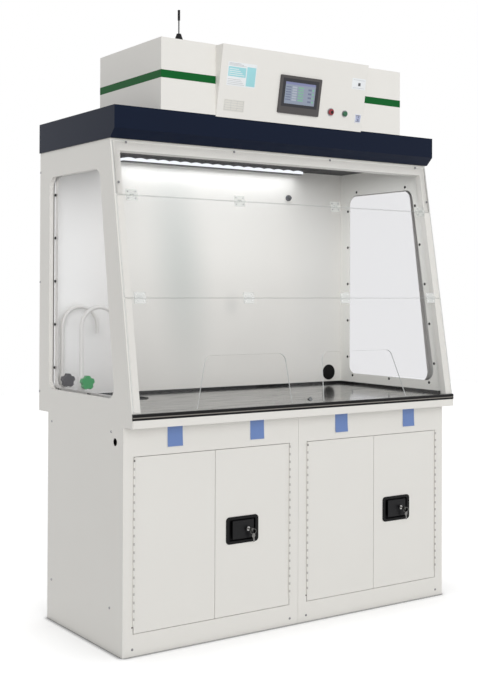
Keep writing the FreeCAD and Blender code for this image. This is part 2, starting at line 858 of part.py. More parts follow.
def back_panel():
    """Outer back sheet with a fold forward along each side."""
    t = hood_sheet
    body = block(-tray_x, tray_x, back_y - back_flange, back_y, worktop_bottom, chamber_top)
    room = block(-tray_x + t, tray_x - t, back_y - back_flange - t, back_y - t, worktop_bottom - t,
                 chamber_top + t)
    return body.cut(room)


def back_liner():
    """White sheet behind the chamber, with the hole of the service port."""
    sheet = block(-tray_x, tray_x, liner_y, liner_y + hood_sheet, worktop_top, chamber_top)
    hole = rod(V(half_width - port_from_side, liner_y - 1, base_height + port_rise), BACK, port_radius,
               4 * hood_sheet)
    return sheet.cut(hole)


def port_cap():
    """Black plug that closes the service port in the back wall."""
    tail = port_cap_thickness + 4 * hood_sheet
    plug, r, c = port_radius - seat_gap, port_cap_radius, port_cap_bevel
    profile = [(0, 0), (r - c, 0), (r, c), (r, port_cap_thickness), (plug, port_cap_thickness),
               (plug, tail), (0, tail)]
    at = V(half_width - port_from_side, liner_y - port_cap_thickness, base_height + port_rise)
    return turned(profile, at, BACK)


def air_probe():
    """Small airflow probe on the back wall: a round foot with a tip."""
    length = probe_thickness + probe_tip_length
    profile = [(0, 0), (probe_tip_radius, 0), (probe_tip_radius, probe_tip_length),
               (probe_radius, probe_tip_length), (probe_radius, length), (0, length)]
    return turned(profile, V(half_width - probe_from_side, liner_y - length, base_height + probe_rise), BACK)


# Face frame and clear sashes

def face_frame():
    """Folded frame of the front opening: two posts and the top rail, with returns inwards."""
    t = hood_sheet
    outer = half_width - skin_flange - seat_gap
    bottom = up_face(worktop_top) - frame_return
    rail_low = face_length - rail_depth_on_front
    plate = block(-outer, outer, bottom, face_length, -t, 0)
    collar = block(-post_inner_x - t, post_inner_x + t, bottom, rail_low + t, -frame_return, 0)
    hole = block(-post_inner_x, post_inner_x, bottom - t, rail_low, -2 * frame_return, t)
    frame = on_front(fused([plate, collar]).cut(hole))
    return frame.common(block(-half_width, half_width, front_y, back_y, worktop_top, chamber_top))


def clear_pane(low, high, gap_out):
    """Clear sheet across the front between two distances up the face, not yet leaned."""
    outline = rectangle(-pane_half_width, pane_half_width, low, high)
    return slab("xy", outline, gap_out, gap_out + pane_thickness, pane_corner)


def top_pane():
    """Fixed clear pane over the top of the opening."""
    low = up_face(upper_line_height) + pane_gap / 2
    return on_front(clear_pane(low, up_face(chamber_top - pane_top_gap), 0.0))


def middle_flap():
    """Clear flap hung from the fixed pane."""
    low = up_face(middle_line_height) + pane_gap / 2
    high = up_face(upper_line_height) - pane_gap / 2
    return on_front(clear_pane(low, high, seat_gap))


def lower_flap():
    """Clear flap hung from the middle one, with two arm ports open at its bottom edge."""
    low, high = up_face(worktop_top + pane_bottom_gap), up_face(middle_line_height) - pane_gap / 2
    pane = clear_pane(low, high, seat_gap)
    port_top = up_face(base_height + arm_port_rise)
    drop = low - 4 * arm_port_corner
    spread = (low - drop) / (port_top - low)
    inner_foot = arm_port_inner_bottom - (arm_port_inner_top - arm_port_inner_bottom) * spread
    outer_foot = arm_port_outer_bottom + (arm_port_outer_bottom - arm_port_outer_top) * spread
    for side in (-1, 1):
        outline = [(side * inner_foot, drop), (side * outer_foot, drop),
                   (side * arm_port_outer_top, port_top), (side * arm_port_inner_top, port_top)]
        pane = pane.cut(slab("xy", outline, -1, 3 * pane_thickness, arm_port_corner))
    return on_front(pane)


def sash_leaves(line_height, way):
    """Half of each clear butterfly hinge on one line: 1 above the line with the pin, -1 below it."""
    line = up_face(line_height)
    out = pane_thickness + (0.0 if line_height == upper_line_height and way > 0 else seat_gap)
    low, high = sorted((line + way * sash_leaf_start, line + way * sash_hinge_height / 2))
    half = sash_hinge_width / 2
    middle = sash_centre_knuckle / 2
    top_out = seat_gap + pane_thickness + sash_leaf
    leaves = []
    for x in sash_hinge_places:
        plate = block(x - half, x + half, low, high, out, top_out)
        spans = ((-half, -middle), (middle, half)) if way > 0 else ((-middle, middle),)
        pieces = [plate]
        gaps = []
        for a, b in (((-half, -middle), (middle, half)) if way < 0 else ((-middle, middle),)):
            gaps.append(rod(V(x + a - knuckle_end_gap / 2, line, sash_axis_out), RIGHT,
                            sash_knuckle_radius + seat_gap, b - a + knuckle_end_gap))
        for a, b in spans:
            pieces.append(rod(V(x + a, line, sash_axis_out), RIGHT, sash_knuckle_radius, b - a))
            near, far = sorted((line, line + way * sash_knuckle_radius))
            pieces.append(block(x + a, x + b, near, far, top_out - sash_leaf / 2, sash_axis_out))
        leaf = fused(pieces)
        leaf = leaf.cut(Part.makeCompound(gaps))
        pin_start = V(x - half, line, sash_axis_out)
        if way > 0:
            leaf = fused([leaf, rod(pin_start, RIGHT, sash_pin_radius, sash_hinge_width)])
        else:
            leaf = leaf.cut(rod(pin_start, RIGHT, sash_pin_radius + turn_clearance, sash_hinge_width))
        leaves.append(on_front(leaf))
    return leaves


def sash_knob():
    """Small turned pull knob on the lower flap."""
    r, l = sash_knob_radius, sash_knob_length
    neck, end = sash_knob_neck_radius, sash_knob_neck_length
    profile = [(0, 0), (neck, 0), (neck, end), (r, end + sash_knob_flare), (r, l), (0, l)]
    return on_front(turned(profile, V(0, up_face(knob_height), seat_gap + pane_thickness), UP))


# Lamp and ceiling

def lamp_housing():
    """Channel of the lamp under the ceiling, open downwards."""
    y0, y1 = lamp_back - lamp_width, lamp_back
    z0, z1 = chamber_top - lamp_height, chamber_top
    w = lamp_wall
    body = block(-lamp_half_length, lamp_half_length, y0, y1, z0, z1)
    return body.cut(block(-lamp_half_length + w, lamp_half_length - w, y0 + w, y1 - w, z0 - w, z1 - w))


def lamp_strip():
    """Light strip with its diffuser, seated in the channel."""
    w = lamp_wall + seat_gap
    y0, y1 = lamp_back - lamp_width + w, lamp_back - w
    x = lamp_half_length - w
    z0 = chamber_top - lamp_height - strip_drop
    outline = [(y0, z0 + strip_drop), (y0 + strip_drop, z0), (y1 - strip_drop, z0), (y1, z0 + strip_drop),
               (y1, chamber_top - lamp_wall), (y0, chamber_top - lamp_wall)]
    return slab("yz", outline, -x, x)


def ceiling_panel():
    """Black ceiling tray on top of the walls, with upturned edges and the air intake."""
    t = hood_sheet
    x = header_half_width - t
    y0, y1 = header_front + header_chamfer + header_fold, back_y - t
    body = block(-x, x, y0, y1, chamber_top, chamber_top + ceiling_flange)
    room = block(-x + t, x - t, y0 + t, y1 - t, chamber_top + t, chamber_top + 2 * ceiling_flange)
    intake = block(-intake_half_length, intake_half_length, intake_front, intake_back,
                   chamber_top - t, chamber_top + 2 * t)
    return body.cut(room).cut(intake)


def prefilter():
    """Black prefilter mat lying over the intake."""
    z0 = chamber_top + hood_sheet
    return block(-intake_half_length - filter_lip, intake_half_length + filter_lip,
                 intake_front - filter_lip, intake_back + filter_lip, z0, z0 + prefilter_thickness)


def header_cover():
    """Dark blue folded cover over the fan plenum, with a chamfer along its lower front edge."""
    t = hood_sheet
    x = header_half_width
    front, c = header_front, header_chamfer
    outer = [(front + c, chamber_top), (back_y, chamber_top), (back_y, header_top), (front, header_top),
             (front, chamber_top + c)]
    inner_front = front + c + header_fold
    inner = [(inner_front, chamber_top - t), (back_y - t, chamber_top - t), (back_y - t, header_top - t),
             (front + t, header_top - t), (front + t, chamber_top + c + header_fold),
             (inner_front, chamber_top + t)]
    body = slab("yz", outer, -x, x).cut(slab("yz", inner, -x + t, x - t))
    way_up = block(-casing_half_width + casing_flange, casing_half_width - casing_flange,
                   casing_front + casing_flange, casing_back - casing_flange,
                   header_top - 2 * t, header_top + t)
    return body.cut(way_up)


# Filter casing and fan

def filter_casing():
    """White casing of the filters: bottom flange, fan plate with its inlet and exhaust opening."""
    t = hood_sheet
    w, y0, y1 = casing_half_width, casing_front, casing_back
    plate_z = header_top + fan_plate_height
    body = block(-w, w, y0, y1, header_top, casing_top)
    lower = block(-w + t, w - t, y0 + t, y1 - t, header_top + t, plate_z)
    upper = block(-w + t, w - t, y0 + t, y1 - t, plate_z + t, casing_top - t)
    f = casing_flange
    mouth = block(-w + f, w - f, y0 + f, y1 - f, header_top - t, header_top + 2 * t)
    inlet = rod(V(fan_x, fan_y, plate_z - t), UP, fan_inlet_radius, 4 * t)
    outlet = block(-grille_half_length + f, grille_half_length - f, grille_front + f, grille_back - f,
                   casing_top - 2 * t, casing_top + t)
    return body.cut(Part.makeCompound([lower, upper])).cut(mouth).cut(inlet).cut(outlet)


def filter_block(low, thickness):
    """Framed filter cassette inside the casing."""
    gap = hood_sheet + filter_clearance
    return block(-casing_half_width + gap, casing_half_width - gap, casing_front + gap,
                 casing_back - gap, low, low + thickness)


def fan_wheel():
    """Backward-curved fan wheel: back disc, shroud ring, blades, hub and shaft."""
    low = header_top + fan_plate_height + hood_sheet + wheel_gap
    high = low + wheel_height
    disc = rod(V(fan_x, fan_y, high - wheel_disc), UP, wheel_radius, wheel_disc)
    ring = rod(V(fan_x, fan_y, low), UP, wheel_radius, wheel_disc)
    ring = ring.cut(rod(V(fan_x, fan_y, low - 1), UP, shroud_inner_radius, wheel_disc + 2))
    hub = rod(V(fan_x, fan_y, high - hub_height), UP, hub_radius, hub_height)
    shaft = rod(V(fan_x, fan_y, high - 1), UP, shaft_radius, shaft_length + 1)
    blades = []
    for i in range(blade_count):
        blades.append(fan_blade(360.0 * i / blade_count, low, high))
    return fused([disc, ring, hub, shaft] + blades)


def fan_blade(start_angle, low, high):
    """Curved blade between the shroud and the back disc, swept against the turning sense."""
    def spot(radius, angle):
        a = radians(start_angle + angle)
        return V(fan_x + radius * cos(a), fan_y + radius * sin(a), low)
    inner, outer = spot(blade_inner_radius, 0), spot(blade_outer_radius, -blade_sweep)
    along = (outer - inner).normalize()
    across = V(-along.y, along.x, 0)
    middle = (inner + outer) * 0.5 + across * blade_bulge
    step = across * blade_thickness
    edges = [Part.Arc(inner, middle, outer).toShape(),
             Part.LineSegment(outer, outer + step).toShape(),
             Part.Arc(outer + step, middle + step, inner + step).toShape(),
             Part.LineSegment(inner + step, inner).toShape()]
    return Part.Face(Part.Wire(edges)).extrude(V(0, 0, high - low))


def fan_motor():
    """Motor can under a cross bracket that spans the casing."""
    wheel_top = header_top + fan_plate_height + hood_sheet + wheel_gap + wheel_height
    low = wheel_top + motor_gap
    can = rod(V(fan_x, fan_y, low), UP, motor_radius, motor_height)
    bore = rod(V(fan_x, fan_y, low - 1), UP, shaft_radius + turn_clearance, shaft_length + 1)
    z = low + motor_height
    bar = block(fan_x - bracket_width / 2, fan_x + bracket_width / 2, casing_front + hood_sheet,
                casing_back - hood_sheet, z, z + bracket_thickness)
    return fused([can, bar]).cut(bore)


def exhaust_grille():
    """Flat exhaust grille with a row of slots, on top of the casing."""
    z0, z1 = casing_top, casing_top + grille_thickness
    plate = slab("xy", rectangle(-grille_half_length, grille_half_length, grille_front, grille_back),
                 z0, z1, grille_corner)
    pitch = 2 * (grille_half_length - 2 * casing_flange) / grille_slots
    middle = (grille_front + grille_back) / 2
    slots = []
    for i in range(grille_slots):
        x = -grille_half_length + 2 * casing_flange + (i + 0.5) * pitch
        slots.append(block(x - slot_width / 2, x + slot_width / 2, middle - slot_length / 2,
                           middle + slot_length / 2, z0 - 1, z1 + 1))
    return plate.cut(Part.makeCompound(slots))


def stripe(side):
    """Green tape round one front corner of the casing, up to the console."""
    t = stripe_thickness
    w = casing_half_width
    z0 = header_top + stripe_bottom
    z1 = z0 + stripe_width
    edge = console_left if side < 0 else console_right
    corner = side * (w + t)
    front = block(*sorted((corner, edge)), casing_front - t, casing_front, z0, z1)
    flank = block(*sorted((corner, side * w)), casing_front - t, casing_back, z0, z1)
    return fused([front, flank])


# Control console

def console_housing():
    """White wedge of the control console, leaning forwards, with its cut-outs."""
    t = hood_sheet
    back = casing_front
    top = console_bottom + console_height
    outline = [(back - console_foot, console_bottom), (back, console_bottom), (back, top),
               (back - console_head, top)]
    body = slab("yz", outline, console_left, console_right)
    slope = (console_head - console_foot) / console_height
    low = 3 * t / slope
    inner = [(back - console_foot - slope * low + t / cos(console_lean), console_bottom + low),
             (back + t, console_bottom + low), (back + t, top - t),
             (back - console_head + slope * t + t / cos(console_lean), top - t)]
    body = body.cut(slab("yz", inner, console_left + t, console_right - t))
    holes = [block(display_left, display_right, display_bottom, display_top, -3 * t, 3 * t)]
    for at, radius in ((stop_button_at, stop_button_radius), (start_button_at, start_button_radius)):
        holes.append(rod(V(at[0], at[1], -20), UP, radius + turn_clearance, 30))
    x, s = rocker_at
    holes.append(block(x - rocker_width / 2 - seat_gap, x + rocker_width / 2 + seat_gap,
                       s - rocker_reach - seat_gap, s + rocker_reach + seat_gap, -20, 10))
    return body.cut(on_console(Part.makeCompound(holes)))


def screen_bezel():
    """Grey frame of the touch screen, standing proud of the console."""
    frame = slab("xy", rectangle(screen_left, screen_right, screen_bottom, screen_top), 0, screen_proud,
                 screen_corner)
    window = block(display_left, display_right, display_bottom, display_top, -1, screen_proud + 1)
    return on_console(frame.cut(window))


def touch_screen():
    """Display glass seated in the bezel, a little below its face."""
    gap = seat_gap / 2
    return on_console(block(display_left + gap, display_right - gap, display_bottom + gap,
                            display_top - gap, -hood_sheet, screen_proud - display_recess))


def push_button(at, radius):
    """Round push button that slides in its collar and in the console's hole."""
    profile = [(0, -button_tail), (radius, -button_tail), (radius, button_proud - button_bevel),
               (radius - button_bevel, button_proud), (0, button_proud)]
    return on_console(turned(profile, V(at[0], at[1], 0), UP))


def button_collars():
    """Two round collars of the push buttons and the frame of the rocker switch."""
    collars = []
    for at, radius in ((stop_button_at, stop_button_radius), (start_button_at, start_button_radius)):
        ring = rod(V(at[0], at[1], 0), UP, radius + collar_width, collar_height)
        bore = rod(V(at[0], at[1], -1), UP, radius + turn_clearance, collar_height + 2)
        collars.append(on_console(ring.cut(bore)))
    x, s = rocker_at
    half_w, half_h = rocker_width / 2 + seat_gap, rocker_reach + seat_gap
    f = rocker_frame
    frame = block(x - half_w - f, x + half_w + f, s - half_h - f, s + half_h + f, 0, rocker_frame_thickness)
    frame = frame.cut(block(x - half_w, x + half_w, s - half_h, s + half_h, -1, rocker_frame_thickness + 1))
    collars.append(on_console(frame))
    return collars


def rocker_switch():
    """Rocker of the mains switch, tipped to its off side about round bosses at the console's face."""
    x, s = rocker_at
    h = rocker_half_height
    tail = h - rocker_tail_inset
    outline = [(s - h, rocker_low), (s - tail, -rocker_tail), (s + tail, -rocker_tail), (s + h, rocker_high),
               (s, rocker_ridge)]
    body = slab("yz", outline, x - rocker_width / 2, x + rocker_width / 2)
    half_axle = rocker_width / 2 + seat_gap - rocker_boss_gap
    axle = rod(V(x - half_axle, s, 0), RIGHT, rocker_boss_radius, 2 * half_axle)
    return on_console(fused([body, axle]))


def antenna():
    """Black antenna: cone foot, thin whip and a thicker cap."""
    neck = antenna_cone_height
    cap = neck + whip_length
    top = cap + whip_cap_length
    profile = [(0, 0), (antenna_cone_radius, 0), (antenna_neck_radius, neck), (whip_radius, neck),
               (whip_radius, cap), (whip_cap_radius, cap), (whip_cap_radius, top), (0, top)]
    at = V(antenna_from_side - casing_half_width, casing_front + antenna_from_front, casing_top)
    return turned(profile, at, UP)


# Screws and tabs

def screw(at, outwards):
    """Pan head of a screw seated on a sheet."""
    return Part.makeCone(screw_head_radius, screw_top_radius, screw_head_height, at, outwards)


def panel_screws():
    """Screw heads on the cabinets' sides and kick plates, the hood's sides, rail and posts."""
    heads = []
    for side in (-1, 1):
        outwards = V(side, 0, 0)
        x = side * half_width
        for behind, height in side_screws_low:
            heads.append(screw(V(x, base_front + behind, height), outwards))
        for behind, drop in side_screws_high:
            heads.append(screw(V(x, base_front + behind, base_height - drop), outwards))
        for rise in side_screw_rises:
            heads.append(screw(V(x, back_y - side_screw_from_back, base_height + rise), outwards))
        x0, x1 = cabinet_span(side)
        for kick_x in (x0 + kick_screw_inset, x1 - kick_screw_inset):
            heads.append(screw(V(kick_x, base_front, kick_screw_height), V(0, -1, 0)))
    post_screw_x = half_width - post_screw_from_side
    spots = [(x, rail_screw_drop) for x in rail_screws]
    spots += [(side * post_screw_x, post_screw_drop) for side in (-1, 1)]
    for x, drop in spots:
        heads.append(on_front(screw(V(0, 0, 0), UP), V(x, up_face(chamber_top - drop), pane_thickness)))
    return heads


def film_tab(x):
    """Blue film tab on the cabinet's top band, tucked up to the rail."""
    return block(x - tab_width / 2, x + tab_width / 2, base_front - tab_thickness, base_front,
                 base_height - tab_height, base_height)


def main():
    os.makedirs("parts", exist_ok=True)
    for name, side in (("left", -1), ("right", 1)):
        write(f"carcass_{name}", carcass(side))
        write(f"door_{name}_a", door(side, 1))
        write(f"door_{name}_b", door(side, -1))
        write(f"latch_dish_{name}", latch_dish(side))
        write(f"latch_paddle_{name}", latch_paddle(side))
        write(f"lock_cylinder_{name}", lock_cylinder(side))
    write("front_frames", front_frame(-1), front_frame(1))
    write("shelves", shelf(-1), shelf(1))
    write("hinge_frame_leaves", *[frame_hinge(stile, way) for stile, way in hinge_places()])
    write("film_tabs", *[film_tab(x) for x in tab_places])
    write("panel_screws", *panel_screws())
    write("worktop_frame", worktop_frame())
    write("worktop", worktop())
    write("cup_sink", cup_sink())
    write("gooseneck_taps", *[gooseneck(x, y) for x, y in tap_spots])
    write("tap_knob_green", tap_knob(*tap_spots[0]))
    write("tap_knob_grey", tap_knob(*tap_spots[1]))
    for name, build in (("side_skin", side_skin), ("side_liner", side_liner)):
        right = build()
        write(f"{name}_right", right)
        write(f"{name}_left", mirrored(right))
    pane = side_window()
    write("side_windows", mirrored(pane), pane)
    write("back_panel", back_panel())
    write("back_liner", back_liner())
    write("port_cap", port_cap())
    write("air_probe", air_probe())
    write("face_frame", face_frame())
    write("top_pane", top_pane())
    write("middle_flap", middle_flap())
    write("lower_flap", lower_flap())
    write("sash_hinge_fixed_leaves", *sash_leaves(upper_line_height, 1))
    middle_leaves = sash_leaves(upper_line_height, -1) + sash_leaves(middle_line_height, 1)
    write("sash_hinge_middle_leaves", *middle_leaves)
    write("sash_hinge_lower_leaves", *sash_leaves(middle_line_height, -1))
    write("sash_knob", sash_knob())
    write("lamp_housing", lamp_housing())
    write("lamp_strip", lamp_strip())
    write("ceiling_panel", ceiling_panel())
    write("prefilter", prefilter())
    write("header_cover", header_cover())
    write("filter_casing", filter_casing())
    carbon_low = header_top + hood_sheet
    write("carbon_filter", filter_block(carbon_low, carbon_thickness))
    write("hepa_filter", filter_block(carbon_low + carbon_thickness, hepa_thickness))
    write("fan_motor", fan_motor())
    write("fan_wheel", fan_wheel())
    write("exhaust_grille", exhaust_grille())
    write("stripe_tapes", stripe(-1), stripe(1))
    write("console_housing", console_housing())
    write("screen_bezel", screen_bezel())
    write("touch_screen", touch_screen())
    write("stop_button", push_button(stop_button_at, stop_button_radius))
    write("start_button", push_button(start_button_at, start_button_radius))
    write("button_collars", *button_collars())
    write("rocker_switch", rocker_switch())
    write("antenna", antenna())


main()
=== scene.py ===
"""Finish of a ductless fume hood: materials for its solids, small hardware, labels and a plain studio."""
from math import atan2, cos, pi, radians, sin

import bmesh
import bpy
import numpy as np
from bpy.props import FloatProperty, FloatVectorProperty, PointerProperty
from mathutils import Matrix, Vector


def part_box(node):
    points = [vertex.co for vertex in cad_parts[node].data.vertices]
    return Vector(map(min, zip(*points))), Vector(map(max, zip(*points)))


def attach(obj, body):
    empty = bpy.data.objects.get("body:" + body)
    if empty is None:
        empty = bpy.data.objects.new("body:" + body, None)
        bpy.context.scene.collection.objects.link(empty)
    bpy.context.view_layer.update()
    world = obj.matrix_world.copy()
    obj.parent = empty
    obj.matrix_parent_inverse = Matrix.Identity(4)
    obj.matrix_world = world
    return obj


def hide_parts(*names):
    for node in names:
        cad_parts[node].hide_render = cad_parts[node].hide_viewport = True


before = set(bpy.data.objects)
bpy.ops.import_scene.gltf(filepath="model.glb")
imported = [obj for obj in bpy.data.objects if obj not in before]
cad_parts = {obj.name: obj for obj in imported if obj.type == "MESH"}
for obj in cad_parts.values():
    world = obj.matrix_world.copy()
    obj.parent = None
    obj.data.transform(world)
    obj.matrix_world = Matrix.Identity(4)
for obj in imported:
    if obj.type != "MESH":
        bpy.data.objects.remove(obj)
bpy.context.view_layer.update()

bl_info = {
    "name": "Ductless fume hood finish",
    "version": (1, 0, 0),
    "blender": (4, 5, 0),
    "location": "View3D > Sidebar > Fume hood",
    "description": "Adds materials, hardware and labels to the solids of a fume hood",
    "category": "Object",
}

MM = 0.001

# The camera, fitted to the hood's edges in the photo: pixels, metres and radians
PHOTO_WIDTH, PHOTO_HEIGHT = 478, 675
FOCAL_LENGTH = 1135.755
OPTICAL_CENTRE = (233.93, 281.27)
CAMERA_PLACE = (-2.6249, -3.693266, 1.2435)
YAW, PITCH, ROLL = radians(34.4414), radians(0.5535), 0.004
SENSOR_HEIGHT = 36.0

# Places taken from the solids, in metres
worktop_low, worktop_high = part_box("worktop")
lamp_low, lamp_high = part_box("lamp_strip")
console_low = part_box("console_housing")[0]
_, FRONT_Y, BASE_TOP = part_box("worktop_frame")[0]
BASE_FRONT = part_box("front_frames")[0].y
LINER_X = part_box("side_liner_right")[0].x
WINDOW_OUTER_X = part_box("side_windows")[1].x
CONSOLE_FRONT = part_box("filter_casing")[0].y - 2.7 * MM

# Slants of the front and of the console, as run and rise in millimetres
LEAN = atan2(172, 997)
CONSOLE_LEAN = atan2(48, 259)

# In millimetres: the source's zero of depth before the frame's, and the axes of locks and hinges
SOURCE_FRONT = 299.666
LOCK_HEIGHT = 382.0
LOCK_X = {"left": -231.25, "right": 519.25}
HINGES = ((-708.5, "door_left_a"), (-42.0, "door_left_b"), (42.0, "door_right_a"), (708.5, "door_right_b"))
HINGE_OUT = 3.3


def linear(hex_colour):
    """Linear red, green, blue and alpha of an sRGB hex colour."""
    parts = np.array([int(hex_colour[i:i + 2], 16) for i in (1, 3, 5)]) / 255
    low, high = parts / 12.92, ((parts + 0.055) / 1.055) ** 2.4
    return (*np.where(parts <= 0.04045, low, high).tolist(), 1.0)


# Flat faces of the hood, as maps from their own measures to space

def measures(points):
    """The three measures of points, each as an array of its own."""
    return np.moveaxis(np.asarray(points, float), -1, 0)


def on_front(points):
    """(x, up the leaning front, outwards) in millimetres, turned and moved to the front's plane."""
    x, up, out = measures(points) * MM
    return np.stack((x, FRONT_Y + up * sin(LEAN) - out * cos(LEAN),
                     BASE_TOP + up * cos(LEAN) + out * sin(LEAN)), axis=-1)


def up_front(height):
    """Distance up the leaning front, in millimetres, of a height above the floor."""
    return (height - BASE_TOP / MM) / cos(LEAN)


def on_console(points):
    """(x, up the console's face, outwards) in millimetres, turned and moved to that face."""
    x, up, out = measures(points) * MM
    return np.stack((x, CONSOLE_FRONT - up * sin(CONSOLE_LEAN) - out * cos(CONSOLE_LEAN),
                     console_low.z + up * cos(CONSOLE_LEAN) - out * sin(CONSOLE_LEAN)), axis=-1)


def on_doors(points):
    """(x, height, outwards) in millimetres, moved to the front plane of the base cabinets."""
    x, up, out = measures(points) * MM
    return np.stack((x, BASE_FRONT - out, up), axis=-1)


# Surfaces: each returns points and four-cornered faces

def unit(vectors):
    """Vectors brought to length 1."""
    return vectors / np.linalg.norm(vectors, axis=-1, keepdims=True)


def patch(grid, ring=False, tube=False):
    """Faces between the neighbours of a grid of points; ring closes its rows and tube its columns."""
    rows, columns = grid.shape[:2]
    i = np.arange(rows if ring else rows - 1)[:, None]
    j = np.arange(columns if tube else columns - 1)[None, :]
    i_next, j_next = (i + 1) % rows, (j + 1) % columns
    corners = (i * columns + j, i_next * columns + j, i_next * columns + j_next, i * columns + j_next)
    return grid.reshape(-1, 3), np.stack(corners, axis=-1).reshape(-1, 4)


def turned(profile, centre, axis, steps):
    """Surface of revolution of a profile (r, h): centre + r (cos t u + sin t v) + h w, with w the axis."""
    profile = np.asarray(profile, float)
    w = unit(np.asarray(axis, float))
    u = unit(np.cross(w, (0.31, 0.57, 0.76)))
    v = np.cross(w, u)
    turn = np.linspace(0, 2 * pi, steps, endpoint=False)[None, :, None]
    radius, height = profile[:, 0, None, None], profile[:, 1, None, None]
    grid = np.asarray(centre, float) + radius * (np.cos(turn) * u + np.sin(turn) * v) + height * w
    return patch(grid, tube=True)


def carried(path, section, up):
    """Section (a, b) carried square to a closed path: path + a side + b lift, with side = along x up."""
    along = np.roll(path, -1, axis=0) - np.roll(path, 1, axis=0)
    side = unit(np.cross(along, up))
    lift = unit(np.cross(side, along))
    grid = path[:, None] + section[:, :1] * side[:, None] + section[:, 1:] * lift[:, None]
    return patch(grid, ring=True, tube=True)


def circle(radius, steps):
    """Round outline: radius (cos t, sin t)."""
    turn = np.linspace(0, 2 * pi, steps, endpoint=False)
    return radius * np.stack((np.cos(turn), np.sin(turn)), axis=1)


def rounded(x0, x1, y0, y1, radius, steps=3):
    """Outline of a rectangle with round corners: corner centre + radius (cos t, sin t) at each."""
    quarter = np.linspace(0, pi / 2, steps)
    turn = (quarter[None] + np.array([0, pi / 2, pi, 3 * pi / 2])[:, None]).ravel()
    centre_x = np.repeat([x1 - radius, x0 + radius, x0 + radius, x1 - radius], steps)
    centre_y = np.repeat([y1 - radius, y1 - radius, y0 + radius, y0 + radius], steps)
    return np.stack((centre_x + radius * np.cos(turn), centre_y + radius * np.sin(turn)), axis=1)


def plate(outline, low, high, edge, place):
    """Outline raised from low to high, set down by place; its upper edge goes in by edge (1 - cos t)."""
    along = np.roll(outline, -1, axis=0) - np.roll(outline, 1, axis=0)
    inward = unit(np.stack((-along[:, 1], along[:, 0]), axis=1))
    turn = np.linspace(0, pi / 2, 4)
    insets = np.concatenate(([0.0], edge * (1 - np.cos(turn))))
    levels = np.concatenate(([low], high - edge + edge * np.sin(turn)))
    middle = np.broadcast_to(outline.mean(axis=0), outline.shape)
    rings = [middle] + [outline + inset * inward for inset in insets] + [middle]
    heights = np.concatenate(([low], levels, [high]))
    grid = np.stack([np.column_stack((ring, np.full(len(ring), z))) for ring, z in zip(rings, heights)])
    return patch(place(grid), tube=True)


def washer(outer, inner, low, high, place):
    """Flat ring between two outlines of as many points, raised from low to high, set down by place."""
    levels = ((outer, low), (outer, high), (inner, high), (inner, low))
    rings = [np.column_stack((outline, np.full(len(outline), z))) for outline, z in levels]
    return patch(place(np.stack(rings)), ring=True, tube=True)


def linked(name, data):
    """New object of a mesh, light or camera, in the scene."""
    made = bpy.data.objects.new(name, data)
    bpy.context.scene.collection.objects.link(made)
    return made


def piece(name, parts, body, materials):
    """Object joined from (surface, material number) parts; it rides on a body of the hood."""
    points, faces, numbers, start = [], [], [], 0
    for (part_points, part_faces), number in parts:
        points.append(part_points)
        faces.append(part_faces + start)
        numbers.append(np.full(len(part_faces), number))
        start += len(part_points)
    mesh = bpy.data.meshes.new(name)
    mesh.from_pydata(np.concatenate(points).tolist(), [], np.concatenate(faces).tolist())
    mesh.polygons.foreach_set("material_index", np.concatenate(numbers).astype(np.int32))
    work = bmesh.new()
    work.from_mesh(mesh)
    bmesh.ops.remove_doubles(work, verts=work.verts, dist=1e-6)
    bmesh.ops.dissolve_degenerate(work, edges=work.edges, dist=1e-7)
    bmesh.ops.recalc_face_normals(work, faces=work.faces)
    work.to_mesh(mesh)
    work.free()
    mesh.polygons.foreach_set("use_smooth", np.ones(len(mesh.polygons), bool))
    mesh.set_sharp_from_angle(angle=radians(35))
    for finish in materials:
        mesh.materials.append(finish)
    made = linked(name, mesh)
    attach(made, body)
    return made


# Materials

def node(tree, kind, inputs=None, **settings):
    """Add a shader node with its settings; its inputs get values or links, a node by its first output."""
    made = tree.nodes.new(kind)
    for key, value in settings.items():
        setattr(made, key, value)
    for key, value in (inputs or {}).items():
        if isinstance(value, bpy.types.Node):
            value = value.outputs[0]
        if isinstance(value, bpy.types.NodeSocket):
            tree.links.new(value, made.inputs[key])
        else:
            made.inputs[key].default_value = value
    return made


def blank(name):
    """Empty node material."""
    made = bpy.data.materials.new(name)
    made.use_nodes = True
    made.node_tree.nodes.clear()
    return made, made.node_tree


def coated(name, colour, roughness, grain=2.2, depth=0.012, mottle=0.03, metallic=0.0, ior=1.5, coat=0.0):
    """Surface with a fine grain of one size in millimetres and a faint, slow mottle of its colour."""
    finish, tree = blank(name)
    here = node(tree, "ShaderNodeTexCoord").outputs["Object"]
    darker = (*[c * (1 - mottle) for c in colour[:3]], 1)
    slow = node(tree, "ShaderNodeTexNoise", {"Vector": here, "Scale": 4.0, "Detail": 3.0})
    blend = node(tree, "ShaderNodeMix", {0: slow, 6: colour, 7: darker}, data_type="RGBA")
    fine = node(tree, "ShaderNodeTexNoise", {"Vector": here, "Scale": 1 / (grain * MM), "Detail": 1.0})
    bump = node(tree, "ShaderNodeBump", {"Height": fine, "Strength": 0.3, "Distance": depth * MM})
    spread = node(tree, "ShaderNodeMapRange", {"Value": slow, "To Min": roughness * 0.94,
                                               "To Max": roughness * 1.06})
    inputs = {"Base Color": blend.outputs[2], "Roughness": spread, "Metallic": metallic,
              "Normal": bump, "Coat Weight": coat, "Coat Roughness": 0.1}
    if not metallic:
        inputs["IOR"] = ior
    shader = node(tree, "ShaderNodeBsdfPrincipled", inputs)
    node(tree, "ShaderNodeOutputMaterial", {"Surface": shader})
    return finish


def place_in(tree):
    """Separated object coordinates, in metres."""
    here = node(tree, "ShaderNodeTexCoord").outputs["Object"]
    return node(tree, "ShaderNodeSeparateXYZ", {0: here}).outputs


